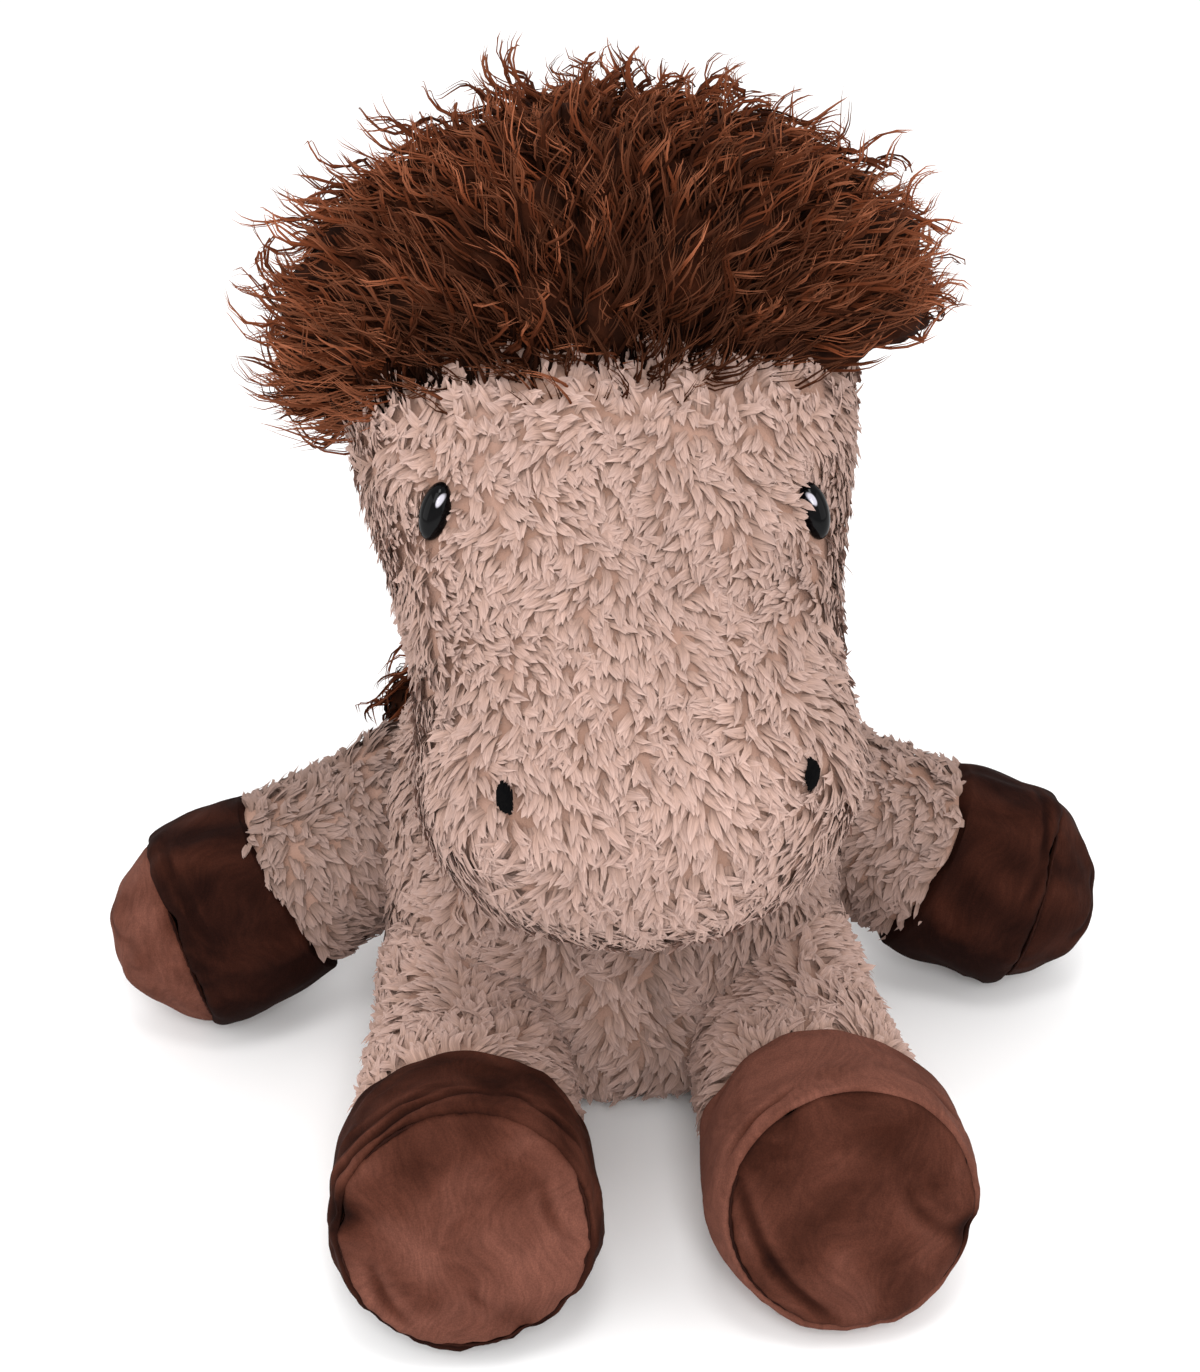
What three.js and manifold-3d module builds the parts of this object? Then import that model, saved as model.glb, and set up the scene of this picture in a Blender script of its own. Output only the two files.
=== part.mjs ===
// A seated plush horse: long-pile covers over loose filling, a curly mane and tail, four
// stuffed limbs with short-pile hooves, and moulded eyes held by washers behind the cloth.
// Millimetres, +Z up. The horse faces -Y, so its own left is at +X. The origin is the middle
// of the flat seat that it sits on.
import * as THREE from "three";
import { mergeVertices } from "three/addons/utils/BufferGeometryUtils.js";
import Module from "manifold-3d";

const wasm = await Module();
wasm.setup();

// Cloths and clearances
const CLOTH = {
  pile: 8, // backing and pile of the body plush
  dent: 4, // the same, where a limb's sleeve is dented by the torso
  hoof: 4, // short-pile hoof cloth
};
const GAP = {
  bend: 3, // either side of a seam that bends
  sewn: 0.4, // between pieces sewn edge to edge
  filling: 0.5, // between a cover and what fills it
};
const OVERRUN = 40; // how far a cutter runs past what it cuts
const INSIDE = { sides: 12, steps: 8 }; // facets of what a cover hides

// Torso: a pear of cloth pressed flat where it sits
const TORSO = {
  width: 204,
  depth: 204,
  height: 206,
  pressed: 14, // how much of the round bottom the floor flattens
  bottomCap: 48,
  topCap: 90,
  squareness: 2.1,
  sides: 18,
  steps: 10,
  widthShares: [0.92, 0.98, 1, 0.99, 0.95, 0.9, 0.82],
  depthShares: [0.92, 0.98, 1, 0.98, 0.93, 0.88, 0.82],
};

// Neck: a short column with a round end in the torso and another in the head
const NECK = {
  radius: 50,
  middleY: -18,
  sunk: 50, // how far the middle of its lower round end is below the torso's top
  length: 104, // from there to the middle of the round end that the head nods on
  sides: 12,
  endSteps: 3,
};

// Head: built upright round its own middle and then tipped, so that the muzzle points down and out
const HEAD = {
  width: 194,
  depth: 142,
  crown: 137, // from its middle to either end
  muzzle: 151,
  middleX: -8,
  forward: 62, // from the middle it nods about to its own middle
  up: 15,
  tilt: 45, // degrees, crown tipped back
  turn: 3, // degrees towards the horse's left
  muzzleCap: 66,
  crownCap: 72,
  squareness: 2.35,
  sides: 18,
  steps: 12,
  widthShares: [0.86, 0.875, 0.875, 0.855, 0.905, 0.985, 1.04, 1.05, 1.02],
  depthShares: [0.88, 0.94, 0.9, 0.88, 0.94, 1, 1, 0.98, 0.92],
};

const NOD = { up: 20, down: 2 }; // degrees
const TURN = { each: 25 }; // degrees

const MANE = {
  hairline: 50, // height of its edge on the brow above the head's middle
  rise: 16, // degrees that this edge rises towards the back
  under: 30, // how far the hair's form would run on below the brow
  middleX: 6, // towards the horse's left from the head's middle
  width: 276,
  depth: 200,
  crest: 56, // how far the hair stands over the crown
  cap: 76,
  squareness: 2,
  sides: 18,
  steps: 12,
  shares: [1, 1.02, 0.99, 0.87, 0.69],
};

// The mane runs on down the back of the neck, and ends on the shoulders
const NECK_MANE = {
  width: 128,
  depth: 84,
  height: 92,
  behind: 64, // its middle from the neck's axis
  up: 38, // its middle above the neck's lower round end
  cap: 36,
  squareness: 2,
  sides: 14,
  steps: 6,
  shares: [0.9, 1, 1, 1, 0.9],
};
const BACK_MANE = {
  width: 208,
  depth: 76,
  height: 64,
  sunk: 24, // how far its middle is inside the torso's back
  down: 94, // its middle below the torso's top
  cap: 28,
  squareness: 2,
  sides: 14,
  steps: 6,
  shares: [0.9, 1, 1, 1, 0.9],
};

const EAR = {
  height: 76,
  width: 42,
  thickness: 14,
  rootHeight: 96, // above the head's middle
  rootAngle: 45, // degrees round from straight sideways, towards the back
  splay: 3, // degrees outwards
  sunk: 10,
  sides: 10,
  steps: 5,
};

const EYE = {
  width: 15,
  height: 23,
  dome: 7,
  sunk: 4, // how far its back lies below the tips of the pile
  height0: 4.5, // above the head's middle
  slant: 4.5, // how much lower the left one sits, and how much higher the right one
  angle: 50, // degrees from straight ahead
  shank: 2.5,
  shankLength: 16,
  washer: 9,
  washerThickness: 2,
  sides: 10,
  steps: 2,
};

const NOSTRIL = {
  width: 8,
  height: 15,
  thickness: 4,
  height0: -100,
  angle: 38,
  sides: 8,
  steps: 2,
};

// Limbs: revolved round their own axis, from a ball in the torso to the sole, and then bent
const LEG = {
  name: "leg",
  root: { inside: 36, behindFront: 52, up: 49 }, // of the torso's side, front and seat
  reach: { x: 9, y: -177, z: 15 }, // from the root to the middle of the sole
  ball: 40,
  sleeve: 48, // radius where the hoof begins
  hoof: 53,
  rim: 47,
  hoofLength: 60,
  bulge: 7,
  bend: 30, // degrees that the sole is tipped up from the root
  swing: { up: 10, down: 25 }, // degrees
  swingAxis: [1, 0, 0],
};
const ARM = {
  name: "arm",
  root: { inside: 12, behindFront: 118, up: 100 },
  reach: { x: 128, y: -4, z: -60 },
  ball: 36,
  sleeve: 43,
  hoof: 46,
  rim: 41,
  hoofLength: 50,
  bulge: 15,
  bend: 34,
  swing: { up: 40, down: 5 },
  swingAxis: [0, 1, 0],
};
const LIMB = {
  sides: 14,
  ballSteps: 3,
  sleeveSteps: 3,
  hoofSteps: 3,
  soleSteps: 2,
  swellShares: [0, 0.25, 0.75, 1], // from the ball's radius to the sleeve's
  hoofShares: [0, 0.75, 1, 0.6], // from the sleeve's radius to the hoof's
};
const BALL = { sides: 16, steps: 9 };

const TAIL = {
  sunk: 12, // how far its root is inside the torso's back
  up: 58,
  ball: 17,
  thickness: 58,
  length: 104,
  drop: 24, // its tip below its root
  dropShares: [0, -0.08, 0.58, 1],
  swing: { each: 30 },
  sides: 10,
  steps: 6,
};

// Solids and geometry

function solid(geometry) {
  const bare = geometry.clone();
  bare.deleteAttribute("normal");
  bare.deleteAttribute("uv");
  const merged = mergeVertices(bare, 1e-4);
  return new wasm.Manifold(
    new wasm.Mesh({
      numProp: 3,
      vertProperties: new Float32Array(merged.attributes.position.array),
      triVerts: new Uint32Array(merged.index.array),
    }),
  );
}

function geometryOf(body) {
  const mesh = body.getMesh();
  const geometry = new THREE.BufferGeometry();
  geometry.setAttribute("position", new THREE.BufferAttribute(mesh.vertProperties, 3));
  geometry.setIndex(new THREE.BufferAttribute(mesh.triVerts, 1));
  return geometry;
}

function cut(body, ...cutters) {
  return cutters.reduce((left, cutter) => left.subtract(cutter), body);
}

function join(first, ...others) {
  return others.reduce((whole, other) => whole.add(other), first);
}

/** A smooth value read off a row of evenly spaced shares, at t from 0 to 1. */
function readShares(shares, t) {
  const curve = new THREE.SplineCurve(shares.map((share, i) => new THREE.Vector2(i, share)));
  return curve.getPoint(THREE.MathUtils.clamp(t, 0, 1)).y;
}

/** 0 at a tip and 1 past its cap, along a quarter of an ellipse. */
function roundedEnd(distance, cap) {
  const along = THREE.MathUtils.clamp(distance / cap, 0, 1);
  return Math.sqrt(1 - (1 - along) ** 2);
}

/** x and y of a rounded square section of half sizes a and b, at an angle. */
function sectionPoint(a, b, squareness, angle) {
  const power = 2 / squareness;
  const c = Math.cos(angle);
  const s = Math.sin(angle);
  return [a * Math.sign(c) * Math.abs(c) ** power, b * Math.sign(s) * Math.abs(s) ** power];
}

/** Closes a stack of rings, each anticlockwise from above, with a point below and above. */
function stack(rings, below, above) {
  const sides = rings[0].length;
  const points = [below, ...rings.flat(), above];
  const index = [];
  const at = (ring, side) => 1 + ring * sides + (side % sides);
  for (let side = 0; side < sides; side++) {
    index.push(0, at(0, side + 1), at(0, side));
    for (let ring = 0; ring + 1 < rings.length; ring++) {
      const [a, b] = [at(ring, side), at(ring, side + 1)];
      const [c, d] = [at(ring + 1, side + 1), at(ring + 1, side)];
      index.push(a, b, c, a, c, d);
    }
    index.push(points.length - 1, at(rings.length - 1, side), at(rings.length - 1, side + 1));
  }
  return new THREE.BufferGeometry().setFromPoints(points).setIndex(index);
}

/** Half sizes of a form's section at a height, drawn in by an inset. */
function sectionOf(form, z, inset) {
  const t = (z - form.bottom) / (form.top - form.bottom);
  const round =
    roundedEnd(z - form.bottom - inset, form.bottomCap - inset) *
    roundedEnd(form.top - inset - z, form.topCap - inset);
  return [
    ((form.width / 2) * readShares(form.widthShares, t) - inset) * round,
    ((form.depth / 2) * readShares(form.depthShares, t) - inset) * round,
  ];
}

/** A stuffed form round the Z axis: it swells and tapers by its shares, with round ends. */
function stuffed(form, inset = 0, { sides, steps } = inset > 0 ? INSIDE : form) {
  const { bottom, top, squareness } = form;
  const rings = [];
  for (let i = 1; i < steps; i++) {
    const share = (1 - Math.cos((Math.PI * i) / steps)) / 2;
    const z = THREE.MathUtils.lerp(bottom + inset, top - inset, share);
    const [a, b] = sectionOf(form, z, inset);
    const ring = [];
    for (let side = 0; side < sides; side++) {
      const [x, y] = sectionPoint(a, b, squareness, (2 * Math.PI * side) / sides);
      ring.push(new THREE.Vector3(x, y, z));
    }
    rings.push(ring);
  }
  const below = new THREE.Vector3(0, 0, bottom + inset);
  const above = new THREE.Vector3(0, 0, top - inset);
  return stack(rings, below, above);
}

/** Where a form's surface is at a height and an angle, and the frame whose Z points out of it. */
function onSurface(form, z, angle) {
  const point = (height, turn) => {
    const [a, b] = sectionOf(form, height, 0);
    const [x, y] = sectionPoint(a, b, form.squareness, turn);
    return new THREE.Vector3(x, y, height);
  };
  const small = 1e-3;
  const place = point(z, angle);
  const round = point(z, angle + small).sub(point(z, angle - small));
  const along = point(z + small, angle).sub(point(z - small, angle));
  const out = round.cross(along).normalize();
  const up = along.normalize();
  const side = up.clone().cross(out);
  return new THREE.Matrix4().makeBasis(side, up, out).setPosition(place);
}

/** A profile of [radius, height] pairs revolved round the Z axis. */
function revolved(profile, sides) {
  const points = profile.map(([radius, height]) => new THREE.Vector2(radius, height));
  return new THREE.LatheGeometry(points, sides).rotateX(Math.PI / 2);
}

/** Points of an arc round [0, middle], its angles measured from straight down. */
function arc(middle, radius, from, to, steps) {
  const points = [];
  for (let i = 0; i <= steps; i++) {
    const angle = THREE.MathUtils.lerp(from, to, i / steps);
    points.push([radius * Math.sin(angle), middle - radius * Math.cos(angle)]);
  }
  return points;
}

/** A ball with its poles on Z. */
function ballAt(centre, radius, { sides, steps } = BALL) {
  const ball = new THREE.SphereGeometry(radius, sides, steps).rotateX(Math.PI / 2);
  return ball.translate(centre.x, centre.y, centre.z);
}

/** A geometry round the Z axis, its axis turned into an arc that rises towards +Y. */
function bent(geometry, degrees, length) {
  const whole = THREE.MathUtils.degToRad(degrees);
  const radius = length / whole;
  const position = geometry.attributes.position;
  for (let i = 0; i < position.count; i++) {
    const [y, z] = [position.getY(i), position.getZ(i)];
    const along = Math.max(z, 0);
    const angle = whole * (along / length - 1 / 2);
    const [s, c] = [Math.sin(angle), Math.cos(angle)];
    const rise = radius * (Math.cos(whole / 2) - c) + y * c + (z - along) * s;
    const reach = radius * (s + Math.sin(whole / 2)) - y * s + (z - along) * c;
    position.setXYZ(i, position.getX(i), rise, reach);
  }
  return geometry;
}

function ellipsoid(width, height, thickness, sides, steps) {
  return new THREE.SphereGeometry(1 / 2, sides, 2 * steps).scale(width, height, thickness);
}

function column(radius, from, to, sides) {
  return revolved(
    [
      [0, from],
      [radius, from],
      [radius, to],
      [0, to],
    ],
    sides,
  );
}

/** Everything below a height. */
function underneath(height) {
  const size = 2 * (TORSO.width + LEG.hoofLength + TORSO.height);
  return new THREE.BoxGeometry(size, size, size).translate(0, 0, height - size / 2);
}

function turnAbout(centre, axis, degrees) {
  const turn = new THREE.Matrix4().makeRotationAxis(axis, THREE.MathUtils.degToRad(degrees));
  const there = new THREE.Matrix4().makeTranslation(centre);
  const back = new THREE.Matrix4().makeTranslation(centre.clone().negate());
  return there.multiply(turn).multiply(back);
}

function placed(geometry, matrix) {
  return geometry.clone().applyMatrix4(matrix);
}

const LOOKS = {
  plush: new THREE.MeshStandardMaterial({ color: 0xc4a596, roughness: 0.95, metalness: 0 }),
  curls: new THREE.MeshStandardMaterial({ color: 0x4a2a1e, roughness: 0.8, metalness: 0 }),
  hoof: new THREE.MeshStandardMaterial({ color: 0x5c362b, roughness: 0.85, metalness: 0 }),
  filling: new THREE.MeshStandardMaterial({ color: 0xf2f0ea, roughness: 1, metalness: 0 }),
  eye: new THREE.MeshStandardMaterial({ color: 0x0a0a0b, roughness: 0.08, metalness: 0 }),
  washer: new THREE.MeshStandardMaterial({ color: 0xe8e8e4, roughness: 0.5, metalness: 0 }),
  thread: new THREE.MeshStandardMaterial({ color: 0x121213, roughness: 0.7, metalness: 0 }),
};

function piece(name, body, look) {
  const mesh = new THREE.Mesh(geometryOf(body), LOOKS[look]);
  mesh.name = name;
  return mesh;
}

// Neck

const neckLow = new THREE.Vector3(0, NECK.middleY, TORSO.height - NECK.sunk);
const neckHigh = new THREE.Vector3(0, NECK.middleY, neckLow.z + NECK.length);
const neckBore = NECK.radius - CLOTH.pile;
const upright = new THREE.Vector3(0, 0, 1);

/** The neck round its own axis with both its round ends, drawn out by a gap. */
function neckOutline(out = 0) {
  const radius = NECK.radius + out;
  const low = arc(neckLow.z, radius, 0, Math.PI / 2, NECK.endSteps);
  const high = arc(neckHigh.z, radius, Math.PI / 2, Math.PI, NECK.endSteps);
  return revolved([...low, ...high], NECK.sides).translate(0, NECK.middleY, 0);
}

function neckColumn(radius, from, to) {
  return column(radius, from, to, NECK.sides).translate(0, NECK.middleY, 0);
}

/** A pad of curly hair round its own middle, rounded alike at its top and bottom. */
function tuft(hair, middleY, middleZ) {
  const form = {
    ...hair,
    bottom: -hair.height / 2,
    top: hair.height / 2,
    bottomCap: hair.cap,
    topCap: hair.cap,
    widthShares: hair.shares,
    depthShares: hair.shares,
  };
  return solid(stuffed(form).translate(0, middleY, middleZ));
}

function makeNeck() {
  const outline = solid(neckOutline());
  const [from, to] = [neckLow.z - NECK.radius - OVERRUN, neckHigh.z + NECK.radius + OVERRUN];
  const cover = cut(outline, solid(neckColumn(neckBore, from, to)));
  const filling = outline.intersect(solid(neckColumn(neckBore - GAP.filling, from, to)));
  const torsos = [-TURN.each, 0, TURN.each].map((angle) =>
    solid(placed(stuffed(torsoForm, -GAP.bend), turnAbout(neckLow, upright, angle))),
  );
  const { behind, up } = NECK_MANE;
  const hair = tuft(NECK_MANE, NECK.middleY + behind, neckLow.z + up);
  const mane = cut(hair, solid(neckOutline(GAP.sewn)), ...torsos);
  const group = new THREE.Group();
  group.add(
    piece("neck_cover", cover, "plush"),
    piece("neck_filling", filling, "filling"),
    piece("neck_mane", mane, "curls"),
  );
  return group;
}

// Torso

const torsoForm = { ...TORSO, bottom: -TORSO.pressed, top: TORSO.height };
const tailRoot = new THREE.Vector3(0, TORSO.depth / 2 - TAIL.sunk, TAIL.up);
const limbPlaces = [LEG, ARM].flatMap((limb) => [1, -1].map((side) => ({ limb, side })));

function rootOf({ limb, side }) {
  const { inside, behindFront, up } = limb.root;
  const x = side * (TORSO.width / 2 - inside);
  return new THREE.Vector3(x, behindFront - TORSO.depth / 2, up);
}

/** The torso drawn in by an inset, with a hollow for each ball that is sewn to it. */
function torsoSolid(inset) {
  const room = GAP.bend + inset;
  const facets = inset > 0 ? INSIDE : BALL;
  const balls = limbPlaces.map((place) => ballAt(rootOf(place), place.limb.ball + room, facets));
  const hollows = [...balls, ballAt(tailRoot, TAIL.ball + room, INSIDE)];
  return cut(solid(stuffed(torsoForm, inset)), solid(underneath(inset)), ...hollows.map(solid));
}

function makeTorso() {
  const below = neckLow.z - NECK.radius - OVERRUN;
  const seat = solid(neckOutline(GAP.bend));
  const seatWall = solid(neckOutline(GAP.bend + CLOTH.pile));
  const throat = solid(neckColumn(neckBore, below, neckLow.z));
  const inside = torsoSolid(CLOTH.pile);
  const cavity = join(cut(inside, seatWall), throat.intersect(inside));
  const cover = cut(torsoSolid(0), seat, cavity);

  const inset = CLOTH.pile + GAP.filling;
  const core = torsoSolid(inset);
  const plug = solid(neckColumn(neckBore - GAP.filling, below, neckLow.z)).intersect(core);
  const filling = join(cut(core, solid(neckOutline(GAP.bend + inset))), cut(plug, seat));
  const { sunk, down } = BACK_MANE;
  const hair = tuft(BACK_MANE, TORSO.depth / 2 - sunk, TORSO.height - down);
  const mane = cut(hair, solid(stuffed(torsoForm, -GAP.sewn)));
  const group = new THREE.Group();
  group.add(
    piece("torso_cover", cover, "plush"),
    piece("torso_filling", filling, "filling"),
    piece("back_mane", mane, "curls"),
  );
  return group;
}

// Limbs

/** The group whose Z axis runs from a limb's ball to its sole, on the side it is sewn to. */
function limbGroup(place) {
  const { x, y, z } = place.limb.reach;
  const group = new THREE.Group();
  group.up.copy(upright);
  group.position.copy(rootOf(place));
  group.lookAt(new THREE.Vector3(place.side * x, y, z).add(group.position));
  group.updateMatrix();
  return group;
}

/** Lengths along a limb's bent axis: its whole, its hoof's end and its sleeve's end. */
function limbLengths(limb) {
  const { reach, bulge, bend, hoofLength } = limb;
  const chord = Math.hypot(reach.x, reach.y, reach.z);
  const half = THREE.MathUtils.degToRad(bend / 2);
  const whole = (chord * half) / Math.sin(half);
  const hoofEnd = whole - bulge - CLOTH.hoof;
  return { whole, hoofEnd, sleeveEnd: hoofEnd - hoofLength };
}

function limbSolid(limb, profile) {
  const geometry = revolved(profile, LIMB.sides);
  return solid(bent(geometry, limb.bend, limbLengths(limb).whole));
}

/** [radius, height] pairs up a limb's sleeve, from its pole, drawn in by an inset. */
function sleeveProfile(limb, inset) {
  const { sleeveEnd } = limbLengths(limb);
  const profile = arc(0, limb.ball - inset, 0, Math.PI / 2, LIMB.ballSteps);
  for (let i = 1; i <= LIMB.sleeveSteps; i++) {
    const t = i / LIMB.sleeveSteps;
    const swell = readShares(LIMB.swellShares, t);
    profile.push([THREE.MathUtils.lerp(limb.ball, limb.sleeve, swell) - inset, sleeveEnd * t]);
  }
  return profile;
}

/** [radius, height] pairs up a limb's hoof band, drawn in by an inset. */
function hoofProfile(limb, inset) {
  const { sleeveEnd, hoofEnd } = limbLengths(limb);
  const profile = [];
  for (let i = 0; i <= LIMB.hoofSteps; i++) {
    const t = i / LIMB.hoofSteps;
    const radius = THREE.MathUtils.lerp(limb.sleeve, limb.hoof, readShares(LIMB.hoofShares, t));
    profile.push([radius - inset, THREE.MathUtils.lerp(sleeveEnd + GAP.sewn, hoofEnd, t)]);
  }
  return profile;
}

/** [radius, height] pairs over a shallow dome, from its edge to the axis. */
function domeProfile(radius, rise, height) {
  const profile = [];
  for (let i = 0; i <= LIMB.soleSteps; i++) {
    const share = 1 - i / LIMB.soleSteps;
    profile.push([radius * share, height + rise * (1 - share ** 2)]);
  }
  return profile;
}

/** The torso as a limb meets it across its swing, in the limb's own frame. */
function torsoAsMet(place, toLimb, grown) {
  const { limb, side } = place;
  const { up, down } = limb.swing;
  const axis = new THREE.Vector3(...limb.swingAxis).multiplyScalar(limb === ARM ? side : 1);
  const within = grown > GAP.bend;
  const room = limb.ball + (3 / 2) * GAP.bend - grown;
  const ball = solid(ballAt(new THREE.Vector3(), room, within ? INSIDE : BALL));
  const facets = within ? INSIDE : torsoForm;
  const angles = within ? [-down, up] : [-down, (up - down) / 2, up];
  return angles.map((angle) => {
    const turned = toLimb.clone().multiply(turnAbout(rootOf(place), axis, angle));
    return cut(solid(placed(stuffed(torsoForm, -grown, facets), turned)), ball);
  });
}

function makeLimb(place) {
  const { limb, side } = place;
  const name = `${limb.name}_${side > 0 ? "left" : "right"}`;
  const group = limbGroup(place);
  const toLimb = group.matrix.clone().invert();
  const { sleeveEnd, hoofEnd } = limbLengths(limb);
  const floorUnder = (depth) => solid(placed(underneath(depth), toLimb));

  const outer = limbSolid(limb, [...sleeveProfile(limb, 0), [0, sleeveEnd]]);
  const past = sleeveEnd + OVERRUN;
  const bore = [limb.sleeve - CLOTH.pile, past];
  const inner = limbSolid(limb, [...sleeveProfile(limb, CLOTH.pile), bore, [0, past]]);
  const hollow = cut(inner, ...torsoAsMet(place, toLimb, GAP.bend + CLOTH.dent));
  const sleeve = cut(outer, ...torsoAsMet(place, toLimb, GAP.bend), hollow, floorUnder(0));

  const inset = CLOTH.pile + GAP.filling;
  const inHoof = hoofProfile(limb, CLOTH.hoof + GAP.filling);
  const end = domeProfile(inHoof.at(-1)[0], limb.bulge, hoofEnd);
  const core = limbSolid(limb, [...sleeveProfile(limb, inset), ...inHoof.slice(1, -1), ...end]);
  const met = torsoAsMet(place, toLimb, GAP.bend + CLOTH.dent + GAP.filling);
  const filling = cut(core, ...met, floorUnder(inset));

  const [outside, inside] = [hoofProfile(limb, 0), hoofProfile(limb, CLOTH.hoof).reverse()];
  const band = limbSolid(limb, [...outside, ...inside, outside[0]]);
  const soleFrom = hoofEnd + GAP.filling;
  const soleBack = domeProfile(limb.rim, limb.bulge, soleFrom).reverse();
  const soleFront = domeProfile(limb.rim, limb.bulge, soleFrom + CLOTH.hoof);
  const sole = limbSolid(limb, [...soleBack, ...soleFront]);

  group.add(
    piece(`${name}_sleeve`, sleeve, "plush"),
    piece(`${name}_filling`, filling, "filling"),
    piece(`${name}_hoof_band`, cut(band, floorUnder(0)), "hoof"),
    piece(`${name}_hoof_sole`, cut(sole, floorUnder(0)), "hoof"),
  );
  return group;
}

// Tail

function makeTail() {
  const last = TAIL.dropShares.length - 1;
  const curve = new THREE.CatmullRomCurve3(
    TAIL.dropShares.map(
      (share, i) => new THREE.Vector3(0, (TAIL.length * i) / last, -TAIL.drop * share),
    ),
  );
  const rings = [];
  for (let i = 1; i < TAIL.steps; i++) {
    const t = i / TAIL.steps;
    const along = curve.getTangentAt(t);
    const side = new THREE.Vector3(1, 0, 0);
    const up = along.clone().cross(side);
    const swell = (TAIL.thickness / 2) * Math.sin(Math.PI * t) ** 0.6;
    const radius = Math.max(swell, TAIL.ball * (1 - t));
    const ring = [];
    for (let k = 0; k < TAIL.sides; k++) {
      const angle = (2 * Math.PI * k) / TAIL.sides;
      const point = curve.getPointAt(t).addScaledVector(side, radius * Math.cos(angle));
      ring.push(point.addScaledVector(up, radius * Math.sin(angle)));
    }
    rings.push(ring);
  }
  const plume = solid(stack(rings, curve.getPointAt(0), curve.getPointAt(1)));
  const group = new THREE.Group();
  group.position.copy(tailRoot);
  group.updateMatrix();
  const toTail = group.matrix.clone().invert();
  const met = [-TAIL.swing.each, TAIL.swing.each].map((angle) => {
    const turned = toTail.clone().multiply(turnAbout(tailRoot, upright, angle));
    return solid(placed(stuffed(torsoForm, -GAP.bend), turned));
  });
  const tail = join(cut(plume, ...met), solid(ballAt(new THREE.Vector3(), TAIL.ball)));
  group.add(piece("tail", tail, "curls"));
  return group;
}

// Head

const headForm = {
  ...HEAD,
  bottom: -HEAD.muzzle,
  top: HEAD.crown,
  bottomCap: HEAD.muzzleCap,
  topCap: HEAD.crownCap,
};

/** The turned group of the head, with a tipped group in it whose Z axis runs up to the crown. */
function headGroups() {
  const turned = new THREE.Group();
  turned.position.copy(neckHigh);
  turned.rotation.z = THREE.MathUtils.degToRad(HEAD.turn);
  const tipped = new THREE.Group();
  tipped.position.set(HEAD.middleX, -HEAD.forward, HEAD.up);
  tipped.rotation.x = THREE.MathUtils.degToRad(-HEAD.tilt);
  turned.add(tipped);
  turned.updateMatrixWorld(true);
  return { turned, tipped };
}

/** The room the neck takes as the head nods on it, in the head's own frame. */
function neckRoom(toHead, grown) {
  const across = new THREE.Vector3(1, 0, 0);
  across.applyAxisAngle(upright, THREE.MathUtils.degToRad(HEAD.turn));
  const thinner = NECK.radius + grown - GAP.sewn;
  const columns = [-NOD.up, -NOD.up / 2, NOD.down].map((angle) => {
    const turned = toHead.clone().multiply(turnAbout(neckHigh, across, -angle));
    return solid(placed(neckColumn(thinner, neckLow.z, neckHigh.z), turned));
  });
  return join(solid(placed(ballAt(neckHigh, NECK.radius + grown), toHead)), ...columns);
}

/** A moulded eye: a dome on a shank, its back at z 0, grown by a gap. */
function eyeSolid(grown = 0) {
  const [width, height] = [EYE.width + 2 * grown, EYE.height + 2 * grown];
  const whole = ellipsoid(width, height, 2 * (EYE.dome + grown), EYE.sides, EYE.steps);
  const from = -EYE.shankLength - grown;
  const shank = column(EYE.shank + grown, from, EYE.dome / 2, EYE.sides / 2);
  return join(cut(solid(whole), solid(underneath(-grown))), solid(shank));
}

/** The washer pushed up an eye's shank against the back of the cloth, grown by a gap. */
function washerSolid(grown = 0) {
  const top = EYE.sunk - CLOTH.pile - GAP.filling + grown;
  const bottom = top - EYE.washerThickness - 2 * grown;
  const disc = solid(column(EYE.washer + grown, bottom, top, EYE.sides));
  const bore = column(EYE.shank + GAP.sewn, bottom - OVERRUN, top + OVERRUN, EYE.sides / 2);
  return grown > 0 ? disc : cut(disc, solid(bore));
}

function nostrilSolid(grown = 0) {
  const size = [NOSTRIL.width, NOSTRIL.height, NOSTRIL.thickness].map((part) => part + 2 * grown);
  return solid(ellipsoid(...size, NOSTRIL.sides, NOSTRIL.steps));
}

/** An ear: a leaf of folded cloth, widest low down, standing on its root. */
function earSolid(grown = 0) {
  return solid(
    stuffed({
      bottom: -grown - EAR.sunk,
      top: EAR.height + grown,
      width: EAR.width + 2 * grown,
      depth: EAR.thickness + 2 * grown,
      widthShares: [0.62, 0.88, 1, 0.94, 0.7, 0.36],
      depthShares: [1, 1, 0.95, 0.85, 0.75, 0.6],
      bottomCap: EAR.sunk,
      topCap: EAR.height / 4,
      squareness: 2,
      sides: EAR.sides,
      steps: EAR.steps,
    }),
  );
}

/** Where a piece of the face sits: its frame's Z axis points out of the head. */
function faceFrame({ height0, angle, slant = 0, sunk = 0 }, side) {
  const round = THREE.MathUtils.degToRad(side * angle) - Math.PI / 2;
  const frame = onSurface(headForm, height0 - side * slant, round);
  return frame.multiply(new THREE.Matrix4().makeTranslation(0, 0, -sunk));
}

function earFrame(side) {
  const back = THREE.MathUtils.degToRad(EAR.rootAngle);
  const root = onSurface(headForm, EAR.rootHeight, side > 0 ? back : Math.PI - back);
  const lean = new THREE.Matrix4().makeRotationY(side * THREE.MathUtils.degToRad(EAR.splay));
  return lean.setPosition(new THREE.Vector3().setFromMatrixPosition(root));
}

function moved(body, matrix) {
  return solid(placed(geometryOf(body), matrix));
}

/** Everything below the hairline, which rises from the brow towards the back. */
function belowHairline() {
  const edge = new THREE.Matrix4().makeRotationX(THREE.MathUtils.degToRad(MANE.rise));
  return placed(underneath(0), edge.setPosition(0, -HEAD.depth / 2, MANE.hairline));
}

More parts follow.
